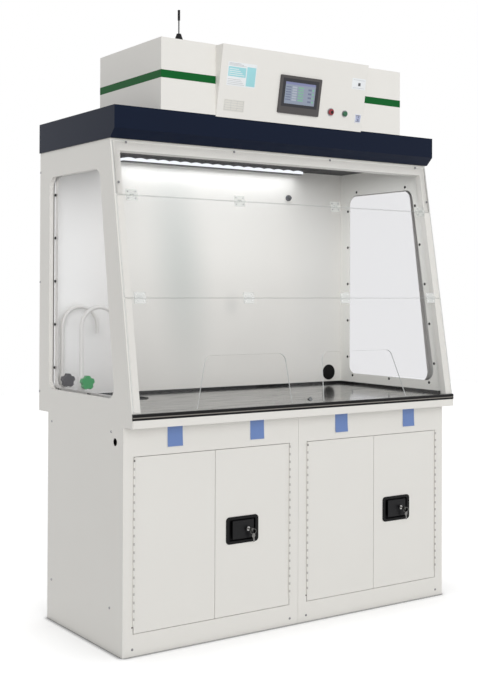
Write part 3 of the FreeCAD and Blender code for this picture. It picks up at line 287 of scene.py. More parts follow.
def between(tree, value, low, high, soft=0.2 * MM):
    """1 where a value lies from low to high and 0 outside, with soft ends."""
    middle, half = (low + high) / 2, (high - low) / 2
    offset = node(tree, "ShaderNodeMath", {0: value, 1: middle}, operation="SUBTRACT")
    away = node(tree, "ShaderNodeMath", {0: offset}, operation="ABSOLUTE")
    return node(tree, "ShaderNodeMapRange", {"Value": away, "From Min": half - soft,
                                             "From Max": half + soft, "To Min": 1.0, "To Max": 0.0})


def leaning_band(tree, x, z, half_width, half_height, slope, depth):
    """Soft patch: depth (1 - r) smoothed, inside r = 1, r^2 = ((dx + slope dz) / a)^2 + (dz / b)^2."""
    place = place_in(tree)
    up = node(tree, "ShaderNodeMath", {0: place["Z"], 1: z}, operation="SUBTRACT")
    across = node(tree, "ShaderNodeMath", {0: place["X"], 1: x}, operation="SUBTRACT")
    slanted = node(tree, "ShaderNodeMath", {0: up, 1: slope, 2: across}, operation="MULTIPLY_ADD")
    squares = []
    for value, size in ((slanted, half_width), (up, half_height)):
        share = node(tree, "ShaderNodeMath", {0: value, 1: size}, operation="DIVIDE")
        squares.append(node(tree, "ShaderNodeMath", {0: share, 1: share}, operation="MULTIPLY"))
    total = node(tree, "ShaderNodeMath", {0: squares[0], 1: squares[1]}, operation="ADD")
    radius = node(tree, "ShaderNodeMath", {0: total}, operation="SQRT")
    return node(tree, "ShaderNodeMapRange", {"Value": radius, "To Min": depth, "To Max": 0.0},
                interpolation_type="SMOOTHSTEP")


def recolour(finish, mask, colour):
    """Put another colour on a finish where the mask is 1."""
    tree = finish.node_tree
    base = tree.nodes["Principled BSDF"].inputs["Base Color"]
    before = base.links[0].from_socket
    blend = node(tree, "ShaderNodeMix", {0: mask, 6: before, 7: colour}, data_type="RGBA")
    tree.links.new(blend.outputs[2], base)


def clear_sheet(name, face_normal, tint, tint_right, edge_colour, gloss_share):
    """Clear acrylic sheet: sees through its faces, with a share of Fresnel gloss and bright cut edges."""
    finish, tree = blank(name)
    normal = node(tree, "ShaderNodeTexCoord").outputs["Normal"]
    facing = node(tree, "ShaderNodeVectorMath", {0: normal, 1: face_normal}, operation="DOT_PRODUCT")
    upright = node(tree, "ShaderNodeMath", {0: facing.outputs["Value"]}, operation="ABSOLUTE")
    is_edge = node(tree, "ShaderNodeMath", {0: upright, 1: 0.6}, operation="LESS_THAN")
    on_right = node(tree, "ShaderNodeMath", {0: place_in(tree)["X"], 1: 0.7}, operation="GREATER_THAN")
    body = node(tree, "ShaderNodeMix", {0: on_right, 6: linear(tint), 7: linear(tint_right)},
                data_type="RGBA")
    through = node(tree, "ShaderNodeBsdfTransparent", {"Color": body.outputs[2]})
    gloss = node(tree, "ShaderNodeBsdfGlossy", {"Roughness": 0.03})
    behind = node(tree, "ShaderNodeNewGeometry").outputs["Backfacing"]
    ior = node(tree, "ShaderNodeMapRange", {"Value": behind, "To Min": 1.49, "To Max": 1 / 1.49})
    angle = node(tree, "ShaderNodeFresnel", {"IOR": ior})
    shine = node(tree, "ShaderNodeMath", {0: angle, 1: gloss_share}, operation="MULTIPLY")
    face = node(tree, "ShaderNodeMixShader", {0: shine, 1: through, 2: gloss})
    cut = node(tree, "ShaderNodeBsdfPrincipled", {"Base Color": linear(edge_colour), "Roughness": 0.35,
                                                  "IOR": 1.49})
    both = node(tree, "ShaderNodeMixShader", {0: is_edge, 1: face, 2: cut})
    node(tree, "ShaderNodeOutputMaterial", {"Surface": both})
    return finish


def clear_moulding(name, tint, glint_and_haze_low, haze_high):
    """Clear moulded polycarbonate with a milky share, larger on the lower row, where the extra milk is
    painted highlight for the glints there.
    """
    finish, tree = blank(name)
    haze = node(tree, "ShaderNodeMapRange", {"Value": place_in(tree)["Z"], "From Min": 1.3, "From Max": 1.5,
                                             "To Min": glint_and_haze_low, "To Max": haze_high})
    through = node(tree, "ShaderNodeBsdfTransparent", {"Color": linear(tint)})
    milk = node(tree, "ShaderNodeBsdfPrincipled", {"Base Color": linear("#F4F5F4"), "Roughness": 0.15,
                                                   "IOR": 1.58})
    both = node(tree, "ShaderNodeMixShader", {0: haze, 1: through, 2: milk})
    node(tree, "ShaderNodeOutputMaterial", {"Surface": both})
    return finish


def lamp_glow(name, hex_colour, strength, low, high, pitch):
    """Row of glowing arches over the height low to high: bright under |cos(pi x / pitch)|, dark above."""
    finish, tree = blank(name)
    place = place_in(tree)
    turn = node(tree, "ShaderNodeMath", {0: place["X"], 1: pi / pitch}, operation="MULTIPLY")
    wave = node(tree, "ShaderNodeMath", {0: turn}, operation="COSINE")
    arch = node(tree, "ShaderNodeMath", {0: wave}, operation="ABSOLUTE")
    crest = node(tree, "ShaderNodeMapRange", {"Value": arch, "To Min": low + 0.74 * (high - low),
                                              "To Max": high})
    under = node(tree, "ShaderNodeMath", {0: crest, 1: place["Z"]}, operation="SUBTRACT")
    above = node(tree, "ShaderNodeMath", {0: place["Z"], 1: low}, operation="SUBTRACT")
    inside = node(tree, "ShaderNodeMath", {0: under, 1: above}, operation="MINIMUM")
    lit = node(tree, "ShaderNodeMapRange", {"Value": inside, "From Max": 1.5 * MM})
    shell = node(tree, "ShaderNodeBsdfPrincipled", {"Base Color": linear("#4A4B4C"), "Roughness": 0.5})
    light = node(tree, "ShaderNodeEmission", {"Color": linear(hex_colour), "Strength": strength})
    both = node(tree, "ShaderNodeMixShader", {0: lit, 1: shell, 2: light})
    node(tree, "ShaderNodeOutputMaterial", {"Surface": both})
    return finish


def dress(finish, *names):
    """Put one finish on CAD nodes."""
    for name in names:
        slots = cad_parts[name].data.materials
        slots.clear()
        slots.append(finish)


# Settings shown in the sidebar

class HoodPaint(bpy.types.PropertyGroup):
    """Colours and gloss of the coated steel."""
    white: FloatVectorProperty(name="White coat", description="Colour of the white powder coat",
                               subtype="COLOR", size=4, default=linear("#E6E4DF"))
    navy: FloatVectorProperty(name="Navy coat", description="Colour of the dark blue header",
                              subtype="COLOR", size=4, default=linear("#0D182D"))
    stripe: FloatVectorProperty(name="Stripe", description="Colour of the green vinyl stripe",
                                subtype="COLOR", size=4, default=linear("#0D5C28"))
    gloss: FloatProperty(name="Coat roughness", description="Roughness of the white powder coat",
                         default=0.38, min=0.05, max=1.0, subtype="FACTOR")


class HoodHardware(bpy.types.PropertyGroup):
    """Sizes of the small hardware."""
    screw_radius: FloatProperty(name="Window screw radius", description="Radius of a window screw's head",
                                default=5.8 * MM, unit="LENGTH")
    knuckle_pitch: FloatProperty(name="Knuckle pitch", description="Length of a hinge knuckle and its gap",
                                 default=28.4 * MM, unit="LENGTH")


class HoodStudio(bpy.types.PropertyGroup):
    """Light of the studio."""
    key: FloatProperty(name="Key light", description="Strength of the key light",
                       default=1.74, min=0.0)
    fill: FloatProperty(name="Fill light", description="Strength of the surrounding light",
                        default=0.54, min=0.0)
    lamp: FloatProperty(name="Hood lamp", description="Power of the hood's own lamp in watts",
                        default=0.85, min=0.0)
    chamber: FloatProperty(name="Chamber fill", description="Power in watts of the chamber's soft light",
                           default=2.4, min=0.0)
    floor_glow: FloatProperty(name="Floor white", description="Light added to the floor as the eye sees it",
                              default=0.52, min=0.0)


# Stage

def seen_rays(tree):
    """1 for rays of the eye, straight, mirrored or through glass, and 0 for those that carry light."""
    rays = node(tree, "ShaderNodeLightPath").outputs
    eye = node(tree, "ShaderNodeMath", {0: rays["Is Camera Ray"], 1: rays["Is Glossy Ray"]},
               operation="MAXIMUM")
    return node(tree, "ShaderNodeMath", {0: eye, 1: rays["Is Transmission Ray"]}, operation="MAXIMUM")


def lay_floor(glow):
    """Flat white floor just under the hood."""
    # Painted board, matt: white to the eye. Its colour and its added white darken by ambient occlusion: a
    # painted contact shadow where the cabinets meet it
    paint, tree = blank("white studio floor")
    seen = seen_rays(tree)
    near = node(tree, "ShaderNodeAmbientOcclusion", {"Distance": 0.022}, samples=8)
    contact_shade = node(tree, "ShaderNodeMath", {0: near.outputs["AO"], 1: 2.2}, operation="POWER")
    open_sky = node(tree, "ShaderNodeAmbientOcclusion", {"Distance": 0.3}, samples=8)
    # Ambient occlusion also dims the added white: painted soft shadow near the cabinets
    for factor in (open_sky.outputs["AO"], seen, contact_shade):
        glow = node(tree, "ShaderNodeMath", {0: factor, 1: glow}, operation="MULTIPLY")
    # Painted contact shadow: the colour goes to dark grey where the cabinets stand close
    colour = node(tree, "ShaderNodeMix", {0: contact_shade, 6: linear("#2B2C30"), 7: linear("#F6F6F6")},
                  data_type="RGBA")
    matt = node(tree, "ShaderNodeBsdfDiffuse", {"Color": colour.outputs[2]})
    white = node(tree, "ShaderNodeEmission", {"Color": linear("#FFFFFF"), "Strength": glow})
    total = node(tree, "ShaderNodeAddShader", {0: matt, 1: white})
    node(tree, "ShaderNodeOutputMaterial", {"Surface": total})
    half, z = 9.0, -0.5 * MM
    points, faces = patch(np.array([[(x, y, z) for x in (-half, half)] for y in (-half, half)]))
    mesh = bpy.data.meshes.new("floor")
    mesh.from_pydata(points.tolist(), [], faces[:, ::-1].tolist())
    mesh.materials.append(paint)
    linked("floor", mesh)


def surround(scene, fill):
    """White surroundings: soft light of a set strength, and plain white to the eye."""
    scene.world = bpy.data.worlds.new("white surroundings")
    scene.world.use_nodes = True
    tree = scene.world.node_tree
    tree.nodes.clear()
    light = node(tree, "ShaderNodeBackground", {"Color": linear("#FFFFFF"), "Strength": fill})
    white = node(tree, "ShaderNodeBackground", {"Color": linear("#FFFFFF"), "Strength": 1.0})
    both = node(tree, "ShaderNodeMixShader", {0: seen_rays(tree), 1: light, 2: white})
    node(tree, "ShaderNodeOutputWorld", {"Surface": both})


def hang_lamps(settings):
    """Wide soft key light, and two lamps over the chamber that the eye doesn't see."""
    key = bpy.data.lights.new("key", "SUN")
    key.energy = settings.key
    key.angle = radians(60)
    linked("key", key).rotation_euler = Vector((0.30, 0.95, -0.09)).to_track_quat("-Z", "Y").to_euler()

    # The hood's lamp lights the chamber from just under its diffuser, and a wide soft light evens it out
    middle_x, middle_y = (lamp_low.x + lamp_high.x) / 2, (lamp_low.y + lamp_high.y) / 2
    strip = (lamp_high.x - lamp_low.x, lamp_high.y - lamp_low.y)
    for name, power, size, x, y, drop in (
            ("hood lamp", settings.lamp, strip, middle_x, middle_y, 2 * MM),
            ("chamber fill", settings.chamber, (1.15, 0.26), middle_x - 0.02, middle_y - 0.30, 4 * MM)):
        lamp = bpy.data.lights.new(name, "AREA")
        lamp.shape = "RECTANGLE"
        lamp.size, lamp.size_y = size
        lamp.energy = power
        lamp.color = linear("#F8FBFF")[:3]
        holder = linked(name, lamp)
        holder.location = (x, y, lamp_low.z - drop)
        holder.visible_camera = False
        holder.visible_glossy = False


class HOOD_OT_studio(bpy.types.Operator):
    """White floor, white surroundings, soft light and the camera"""
    bl_idname = "hood.studio"
    bl_label = "Studio"

    def execute(self, context):
        scene, settings = context.scene, context.scene.hood_studio
        scene.view_settings.view_transform = "Standard"
        lay_floor(settings.floor_glow)
        surround(scene, settings.fill)
        hang_lamps(settings)

        view = bpy.data.cameras.new("camera")
        view.sensor_fit = "VERTICAL"
        view.sensor_height = SENSOR_HEIGHT
        view.lens = FOCAL_LENGTH * SENSOR_HEIGHT / PHOTO_HEIGHT
        view.shift_x = (PHOTO_WIDTH / 2 - OPTICAL_CENTRE[0]) / PHOTO_HEIGHT
        view.shift_y = (OPTICAL_CENTRE[1] - PHOTO_HEIGHT / 2) / PHOTO_HEIGHT
        view.clip_end = 50
        towards = Vector((sin(YAW) * cos(PITCH), cos(YAW) * cos(PITCH), sin(PITCH)))
        turn = towards.to_track_quat("-Z", "Y").to_matrix().to_4x4() @ Matrix.Rotation(ROLL, 4, "Z")
        scene.camera = linked("camera", view)
        scene.camera.matrix_world = Matrix.Translation(CAMERA_PLACE) @ turn
        return {"FINISHED"}


# Finishes of the solids

class HOOD_OT_coats(bpy.types.Operator):
    """Powder coats of the sheet steel"""
    bl_idname = "hood.coats"
    bl_label = "Powder coats"

    def execute(self, context):
        paint = context.scene.hood_paint
        # Polyester powder baked on folded steel: satin, with a fine orange peel and next to no texture
        dress(coated("white powder coat", paint.white, paint.gloss),
              "carcass_left", "carcass_right", "front_frames", "shelves", "door_left_a", "door_left_b",
              "door_right_a", "door_right_b", "worktop_frame", "side_skin_left", "side_skin_right",
              "side_liner_left", "back_panel", "face_frame", "filter_casing", "console_housing",
              "gooseneck_taps", "exhaust_grille", "hinge_frame_leaves")
        # The same coat on the right liner, a shade paler: painted sheen for the reflected haze that the
        # clear front lays over it
        dress(coated("white powder coat of the right liner", linear("#F3F2ED"), paint.gloss),
              "side_liner_right")
        # The same coat on the wide back liner, with painted light: grey bands of painted shade where it is
        # less lit, and a paler left end painted for the light from the side windows
        liner = coated("white powder coat of the liner with painted light and shade", paint.white, paint.gloss, mottle=0.05)
        # Place across and up, half width and height in metres, slant, depth and colour of each
        for *band, colour in ((-0.14, 1.36, 0.19, 0.62, 0.12, 0.84, "#C3C6C2"),
                              (0.60, 1.30, 0.24, 0.80, 0.0, 0.22, "#C3C6C5"),
                              (0.12, 1.19, 0.06, 0.07, 0.0, 0.28, "#B4B5B2"),
                              (-0.74, 1.15, 0.40, 0.90, 0.0, 1.0, "#FCFCF9")):
            recolour(liner, leaning_band(liner.node_tree, *band), linear(colour))
        dress(liner, "back_liner")
        # The same process in dark blue: deep on the front, greyer on the flank, where it mirrors the room
        dress(coated("navy powder coat", paint.navy, 0.32, grain=1.6, depth=0.02, mottle=0.10, ior=1.2),
              "header_cover")
        # Matt black powder coat over the chamber: swallows the lamp's stray light
        dress(coated("black powder coat", linear("#0C0C0D"), 0.6, ior=1.3), "ceiling_panel")
        return {"FINISHED"}


class HOOD_OT_panes(bpy.types.Operator):
    """Clear panes, flaps and their hinges"""
    bl_idname = "hood.panes"
    bl_label = "Clear panes"

    def execute(self, context):
        # Cast acrylic sheet, sawn and flame polished: its cut edges gather light, painted as highlight in a
        # pale edge colour
        dress(clear_sheet("clear acrylic sash", (0.0, -cos(LEAN), sin(LEAN)), "#FFFFFF", "#FFFFFF",
                          "#E6E8E7", 0.4), "top_pane", "middle_flap", "lower_flap")
        # The same sheet in the side walls: white sawn edges, and a greyer tint on the right one
        dress(clear_sheet("clear acrylic window", (1.0, 0.0, 0.0), "#FEFEFF", "#F3F3F4", "#F4F5F4", 0.35),
              "side_windows")
        # Moulded polycarbonate, clear with a little milk; the lower row's larger share is painted highlight
        # for the glints on its leaves
        dress(clear_moulding("clear moulded hinge", "#FAFBFA", 0.5, 0.2),
              "sash_hinge_fixed_leaves", "sash_hinge_middle_leaves", "sash_hinge_lower_leaves")
        # Turned steel: a dull mirror with a dark rim where it turns away
        dress(coated("turned steel knob", linear("#7D7F80"), 0.25, metallic=1.0, grain=0.6, depth=0.01),
              "sash_knob")
        return {"FINISHED"}


class HOOD_OT_bench(bpy.types.Operator):
    """Worktop, sink and taps"""
    bl_idname = "hood.bench"
    bl_label = "Worktop and taps"

    def execute(self, context):
        # Pressed phenolic laminate, polished: nearly black, mirrors the white walls at a low angle
        slab = coated("polished black laminate", linear("#121213"), 0.12, grain=9.0, depth=0.004,
                      mottle=0.15, ior=1.25)
        tree = slab.node_tree
        shader = tree.nodes["Principled BSDF"].inputs
        place = place_in(tree)
        # Only the top is polished; the sawn nose stays dark but for a pale line along its middle
        polish = node(tree, "ShaderNodeMapRange", {"Value": place["Z"], "To Max": 0.7,
                                                   "From Min": worktop_high.z - 12.5 * MM,
                                                   "From Max": worktop_high.z - 12 * MM})
        tree.links.new(polish.outputs[0], shader["Coat Weight"])
        middle_band = between(tree, place["Z"], worktop_low.z + 7.5 * MM, worktop_low.z + 10.5 * MM, 0.5 * MM)
        front = between(tree, place["Y"], worktop_low.y - 1 * MM, worktop_low.y + 1 * MM)
        line = node(tree, "ShaderNodeMath", {0: middle_band, 1: front}, operation="MULTIPLY")
        recolour(slab, line, linear("#8D8983"))
        # Wiping leaves streaks along the front that blur the mirror here and there
        here = node(tree, "ShaderNodeTexCoord").outputs["Object"]
        wiped = node(tree, "ShaderNodeMapping", {"Vector": here, "Scale": (6.0, 70.0, 1.0)})
        streak = node(tree, "ShaderNodeTexNoise", {"Vector": wiped, "Scale": 1.0, "Detail": 3.0})
        blur = node(tree, "ShaderNodeMapRange", {"Value": streak, "From Min": 0.35, "From Max": 0.68,
                                                 "To Min": 0.09, "To Max": 0.30})
        tree.links.new(blur.outputs[0], shader["Roughness"])
        dress(slab, "worktop")
        # Injection moulded polypropylene: matt black with a fine spark-eroded grain
        dress(coated("black polypropylene", linear("#17181A"), 0.5, grain=0.8, depth=0.04), "cup_sink")
        # Moulded nylon knobs, dyed through: the green one glossy, the grey one duller with use
        dress(coated("green moulded knob", linear("#1E9A52"), 0.3, grain=3.0, depth=0.01, ior=1.35),
              "tap_knob_green")
        dress(coated("grey moulded knob", linear("#434247"), 0.4, grain=3.0, depth=0.01, ior=1.35),
              "tap_knob_grey")
        return {"FINISHED"}


class HOOD_OT_latches(bpy.types.Operator):
    """Latches, lock plugs, port plug and screws"""
    bl_idname = "hood.latches"
    bl_label = "Latches"

    def execute(self, context):
        # Moulded nylon, dyed black, with a spark-eroded grain that scatters a little light
        dress(coated("black moulded nylon", linear("#0C0C0D"), 0.45, grain=0.9, depth=0.06, ior=1.25),
              "latch_dish_left", "latch_dish_right", "port_cap")
        # The same nylon, worn smoother by fingers, so its edges catch the light
        dress(coated("black satin paddle", linear("#0F0F11"), 0.3, grain=0.9, depth=0.04, ior=1.3),
              "latch_paddle_left", "latch_paddle_right")
        # Nickel-plated brass plug: a warm, bright dot in the black dish
        dress(coated("nickel plated lock", linear("#C9C8C6"), 0.22, metallic=1.0, grain=0.7, depth=0.01),
              "lock_cylinder_left", "lock_cylinder_right")
        # Zinc-plated pan heads: dull grey dots with a small bright side
        dress(coated("zinc plated screw", linear("#8E8E90"), 0.35, metallic=1.0, grain=0.5, depth=0.01),
              "panel_screws")
        return {"FINISHED"}


class HOOD_OT_console(bpy.types.Operator):
    """Screen, buttons and switch of the console, its antenna and the stripe"""
    bl_idname = "hood.console"
    bl_label = "Console"

    def execute(self, context):
        # Moulded ABS, grey through, with a spark-eroded grain that keeps it dull
        dress(coated("grey moulded bezel", linear("#4C4949"), 0.5, grain=0.8, depth=0.05, ior=1.4),
              "screen_bezel")
        # Cover glass over a lit page: the page's grey-blue with a mirror's gloss on it
        dress(coated("display glass", linear("#8C96A8"), 0.12, grain=8.0, depth=0.0, mottle=0.02, coat=0.2),
              "touch_screen")
        # Moulded polycarbonate caps, dyed through: glossy red and green dots
        dress(coated("red moulded button", linear("#8E2029"), 0.28, grain=2.0, depth=0.01, coat=0.2),
              "stop_button")
        dress(coated("green moulded button", linear("#175C3A"), 0.28, grain=2.0, depth=0.01, coat=0.2),
              "start_button")
        # Turned aluminium, a thin bright ring round each button; the rocker's frame is pale plastic
        collar = coated("turned aluminium collar", linear("#A7A8AA"), 0.3, metallic=1.0, grain=0.4,
                        depth=0.02)
        tree = collar.node_tree
        rocker_frame = between(tree, place_in(tree)["X"], 0.3, 0.4)
        recolour(collar, rocker_frame, linear("#E0E3EC"))
        metal = node(tree, "ShaderNodeMath", {0: 1.0, 1: rocker_frame}, operation="SUBTRACT")
        tree.links.new(metal.outputs[0], tree.nodes["Principled BSDF"].inputs["Metallic"])
        dress(collar, "button_collars")
        # Pale nylon rocker with a soft gloss on its two slopes
        dress(coated("pale moulded rocker", linear("#A9B1CC"), 0.3, grain=2.0, depth=0.01), "rocker_switch")
        # Moulded rubber over the antenna's spring: black, next to no gloss
        dress(coated("black antenna rubber", linear("#0E0E10"), 0.5, grain=1.0, depth=0.03, ior=1.3),
              "antenna")
        # Vinyl tape, smooth, printed through in one green
        stripe = context.scene.hood_paint.stripe
        dress(coated("green vinyl tape", stripe, 0.4, grain=6.0, depth=0.01, ior=1.2), "stripe_tapes")
        return {"FINISHED"}


class HOOD_OT_inside(bpy.types.Operator):
    """Lamp, filters, fan and probe"""
    bl_idname = "hood.inside"
    bl_label = "Lamp, filters and fan"

    def execute(self, context):
        # Opal acrylic lit from within by a row of diodes: the light fades between one diode and the next
        pitch = (lamp_high.x - lamp_low.x) / 17
        dress(lamp_glow("lit opal diffuser", "#F6FAFF", 1.05, lamp_low.z + 3.0 * MM, lamp_high.z, pitch),
              "lamp_strip", "lamp_housing")
        # Moulded ABS sleeve of the probe: dull dark grey
        dress(coated("grey moulded probe", linear("#55575A"), 0.45, grain=0.8, depth=0.05), "air_probe")
        # Reticulated foam: coarse open cells, drawn as a deep bump
        dress(coated("black filter foam", linear("#1B1B1C"), 0.9, grain=3.0, depth=1.5), "prefilter")
        # Hot-dip galvanised frame: a dull mirror with large spangles
        dress(coated("galvanised filter frame", linear("#A8ABAD"), 0.4, metallic=1.0, grain=12.0,
                     depth=0.05, mottle=0.15), "carbon_filter")
        # Extruded aluminium, etched: an even, pale metal
        dress(coated("aluminium filter frame", linear("#C3C5C7"), 0.35, metallic=1.0, grain=0.5,
                     depth=0.02), "hepa_filter")
        # Galvanised sheet again, rolled and spot welded: the spangles are darker
        dress(coated("galvanised fan steel", linear("#9FA2A4"), 0.4, metallic=1.0, grain=12.0,
                     depth=0.05, mottle=0.2), "fan_motor", "fan_wheel")
        return {"FINISHED"}


# Small hardware

class HOOD_OT_knuckles(bpy.types.Operator):
    """Painted knuckles and pins of the piano hinges, with dark pin heads"""
    bl_idname = "hood.knuckles"
    bl_label = "Hinge knuckles"

    def execute(self, context):
        pitch = context.scene.hood_hardware.knuckle_pitch / MM
        white = bpy.data.materials["white powder coat"]
        # Painted pin in the gaps: the same white, in the knuckles' shade
        pin_finish = coated("shadowed hinge pin", linear("#BDBAB6"), 0.5, grain=0.6, depth=0.02)
        bottom, sections, per_section = 104.0, 5, 4
        length, pin_radius, radius = pitch - 9.5, 3.08, 3.22
        knuckle = np.array([(0, 0.6), (pin_radius, 0.6), (radius, 0.8), (radius, length - 0.8),
                            (pin_radius, length - 0.6), (0, length - 0.6)]) * MM
        pin = np.array([(0, length), (pin_radius, length), (pin_radius, pitch - 0.4),
                        (0, pitch - 0.4)]) * MM
        for number, (axis_x, door) in enumerate(HINGES, 1):
            for word, body, first in (("frame", "hood", 0), ("door", door, 1)):
                parts = []
                for section in range(first, sections, 2):
                    for i in range(per_section):
                        height = bottom + (section * per_section + i) * pitch
                        centre = on_doors((axis_x, height, HINGE_OUT))
                        parts.append((turned(knuckle, centre, (0, 0, 1), 14), 0))
                        parts.append((turned(pin, centre, (0, 0, 1), 14), 1))
                piece(f"hinge_knuckles_{number}_{word}", parts, body, [white, pin_finish])
        # Dark pin heads at the ends of each cabinet's left hinge
        dark = coated("dark hinge pin end", linear("#2E2C2A"), 0.5, grain=0.6, depth=0.02)
        head = np.array([(0, -0.3), (2.7, -0.3), (2.7, 0.5), (1.9, 1.2), (0, 1.4)]) * MM
        parts = [(turned(head, on_doors((x, z, out)), (0, -1, 0), 14), 0)
                 for x, z, out in ((-709.6, 667, 6.6), (-713, 99, 0), (41, 667, 6.6), (38, 99, 0))]
        piece("hinge_pin_heads", parts, "hood", [dark])
        return {"FINISHED"}


class HOOD_OT_tabs(bpy.types.Operator):
    """Blue film tabs that curl a little off the cabinets: out = a + c (v / h)^3 + b (u / w)^2 (v / h)"""
    bl_idname = "hood.tabs"
    bl_label = "Film tabs"

    def execute(self, context):
        # Polyethylene protective film, cut by hand: thin, dyed blue, lifts at its lower edge
        film = coated("blue protective film", linear("#6C88C0"), 0.35, grain=9.0, depth=0.3, mottle=0.12)
        top, half_width, height, thickness = 783, 31, 78, 0.25
        across, down = np.meshgrid(np.linspace(-half_width, half_width, 9), np.linspace(0, height, 13),
                                   indexing="ij")
        parts = []
        for x, curl in ((-544.5, 3.0), (-192.0, 2.2), (209.0, 3.6), (560.0, 2.6)):
            out = 0.35 + curl * (down / height) ** 3 + 0.25 * (across / half_width) ** 2 * (down / height)
            near = np.stack((x + across, top - down, out), axis=-1)
            far = near - np.array([0, 0, thickness])
            parts.append((patch(on_doors(np.concatenate((near, far[::-1]))), ring=True), 0))
        tabs = piece("film_tabs_curled", parts, "hood", [film])
        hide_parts("film_tabs")
        return {"FINISHED"}


class HOOD_OT_window_screws(bpy.types.Operator):
    """Black button head screws round the side windows, with cap nuts outside"""
    bl_idname = "hood.window_screws"
    bl_label = "Window screws"

    def execute(self, context):
        # Black oxide steel, slightly oily: a black dot with a soft edge light
        oxide = coated("black oxide screw", linear("#161617"), 0.45, grain=0.5, depth=0.01, ior=1.35)
        # Depth in the source and height of each screw: back row, front row, then above and below
        spots = [(575, z) for z in (1612, 1448, 1283, 1118, 953)]
        spots += [(138, 1613), (109, 1447), (78, 1281), (50, 1115), (22, 951)]
        spots += [(516, 1696), (200, 1696), (540, 871), (297, 871), (51, 871)]
        # Profiles in shares of the radius and millimetres
        scale = (context.scene.hood_hardware.screw_radius, MM)
        head = np.array([(0, -0.5), (1, -0.5), (1, 0.6), (0.86, 1.6), (0.55, 2.3), (0.42, 2.4),
                         (0.40, 1.1), (0, 1.1)]) * scale
        nut = np.array([(0, -0.3), (0.95, -0.3), (0.95, 2.0), (0.6, 3.2), (0, 3.6)]) * scale
        for side, word in ((-1, "left"), (1, "right")):
            parts = []
            for y, z in spots:
                y, z = (y - SOURCE_FRONT) * MM, z * MM
                parts.append((turned(head, (side * LINER_X, y, z), (-side, 0, 0), 16), 0))
                parts.append((turned(nut, (side * WINDOW_OUTER_X, y, z), (side, 0, 0), 16), 0))
            piece(f"window_screws_{word}", parts, "hood", [oxide])
        return {"FINISHED"}


class HOOD_OT_sash_screws(bpy.types.Operator):
    """Screws of the clear hinges"""
    bl_idname = "hood.sash_screws"
    bl_label = "Clear hinge screws"

    def execute(self, context):
        # Stainless pan heads on the upper line; on the lower line pale caps, as pale as the leaves there:
        # painted highlight for the glints of that row
        steel = coated("stainless screw", linear("#8F9092"), 0.4, metallic=1.0, grain=0.5, depth=0.01)
        cap = coated("pale screw cap with painted glint", linear("#E4E5E3"), 0.4, grain=0.5, depth=0.01)
        head = np.array([(0, 0), (2.6, 0), (2.6, 0.7), (1.9, 1.5), (0.8, 1.7), (0.7, 0.9), (0, 0.9)]) * MM
        outwards = on_front((0, 0, 1000)) - on_front((0, 0, 0))
        leaf_face = 8.3
        groups = {"hood": [], "middle_flap": [], "lower_flap": []}
        for line, above, below, number in ((1580.0, "hood", "middle_flap", 0),
                                           (1222.0, "middle_flap", "lower_flap", 1)):
            for x in (-686, -229, 229, 686):
                for dx in (-15, 15):
                    for dy, body in ((12, above), (-12, below)):
                        centre = on_front((x + dx, up_front(line) + dy, leaf_face))
                        groups[body].append((turned(head, centre, outwards, 12), number))
        for body, parts in groups.items():
            piece(f"sash_screws_{body}", parts, body, [steel, cap])
        return {"FINISHED"}


class HOOD_OT_keys(bpy.types.Operator):
    """A key in each lock, and a second one on a ring"""
    bl_idname = "hood.keys"
    bl_label = "Keys"

    def execute(self, context):
        # Stamped nickel-plated brass keys on a split ring of spring steel, dulled by pockets
        nickel = coated("nickel plated key", linear("#7B7A78"), 0.28, metallic=1.0, grain=0.6, depth=0.02)
        oval = circle(1.0, 28)
        for word, lock_x in LOCK_X.items():

            def beside(points, x=lock_x):
                """(outwards, up, sideways) in millimetres, moved to the lock's face."""
                out, up, side = measures(points)
                return on_doors(np.stack((x + side - 0.7, LOCK_HEIGHT + up, 3.5 + out), axis=-1))
            bow = oval * (10.5, 8.5) + (15.5, -1.0)
            parts = [(washer(bow, 2.6 * oval + (21.0, 0.0), 0.0, 1.6, beside), 0),
                     (plate(rounded(-3.5, 7.0, -3.4, 3.4, 0.5), 0.1, 1.5, 0.3, beside), 0)]
            piece(f"key_{word}", parts, f"lock_{word}", [nickel])

            # The ring threads the bow on the lock's own axis, so it stays threaded while the key turns
            down, along = np.array((0.707, -0.707, 0.0)), np.array((0.648, 0.648, 0.4))
            threaded, radius = np.array((lock_x + 0.1, LOCK_HEIGHT, 24.5)), 10.5
            loop = threaded + radius * (down * (1 - oval[:, :1]) + along * oval[:, 1:])
            hook = loop[np.argmin(loop[:, 1])]

            def hanging(points, at=hook):
                """(across, down, thickness) in millimetres of the loose key, hung from the ring."""
                across, drop, thick = measures(points)
                return on_doors(np.stack((at[0] + 0.94 * across + 0.18 * drop, at[1] - drop + 0.2 * across,
                                          at[2] - 0.8 + thick - 0.10 * drop), axis=-1))
            loose_bow = oval * (7.5, 8.0) + (0.0, 5.5)
            parts = [(carried(on_doors(loop), circle(0.8 * MM, 8), (0.2, 1.0, 0.0)), 0),
                     (washer(loose_bow, 1.7 * oval, 0.0, 1.6, hanging), 0),
                     (plate(rounded(-2.9, 2.9, 12.5, 29.0, 1.0)[::-1], 0.1, 1.5, 0.3, hanging), 0)]
            piece(f"key_ring_{word}", parts, f"paddle_{word}", [nickel])
        return {"FINISHED"}


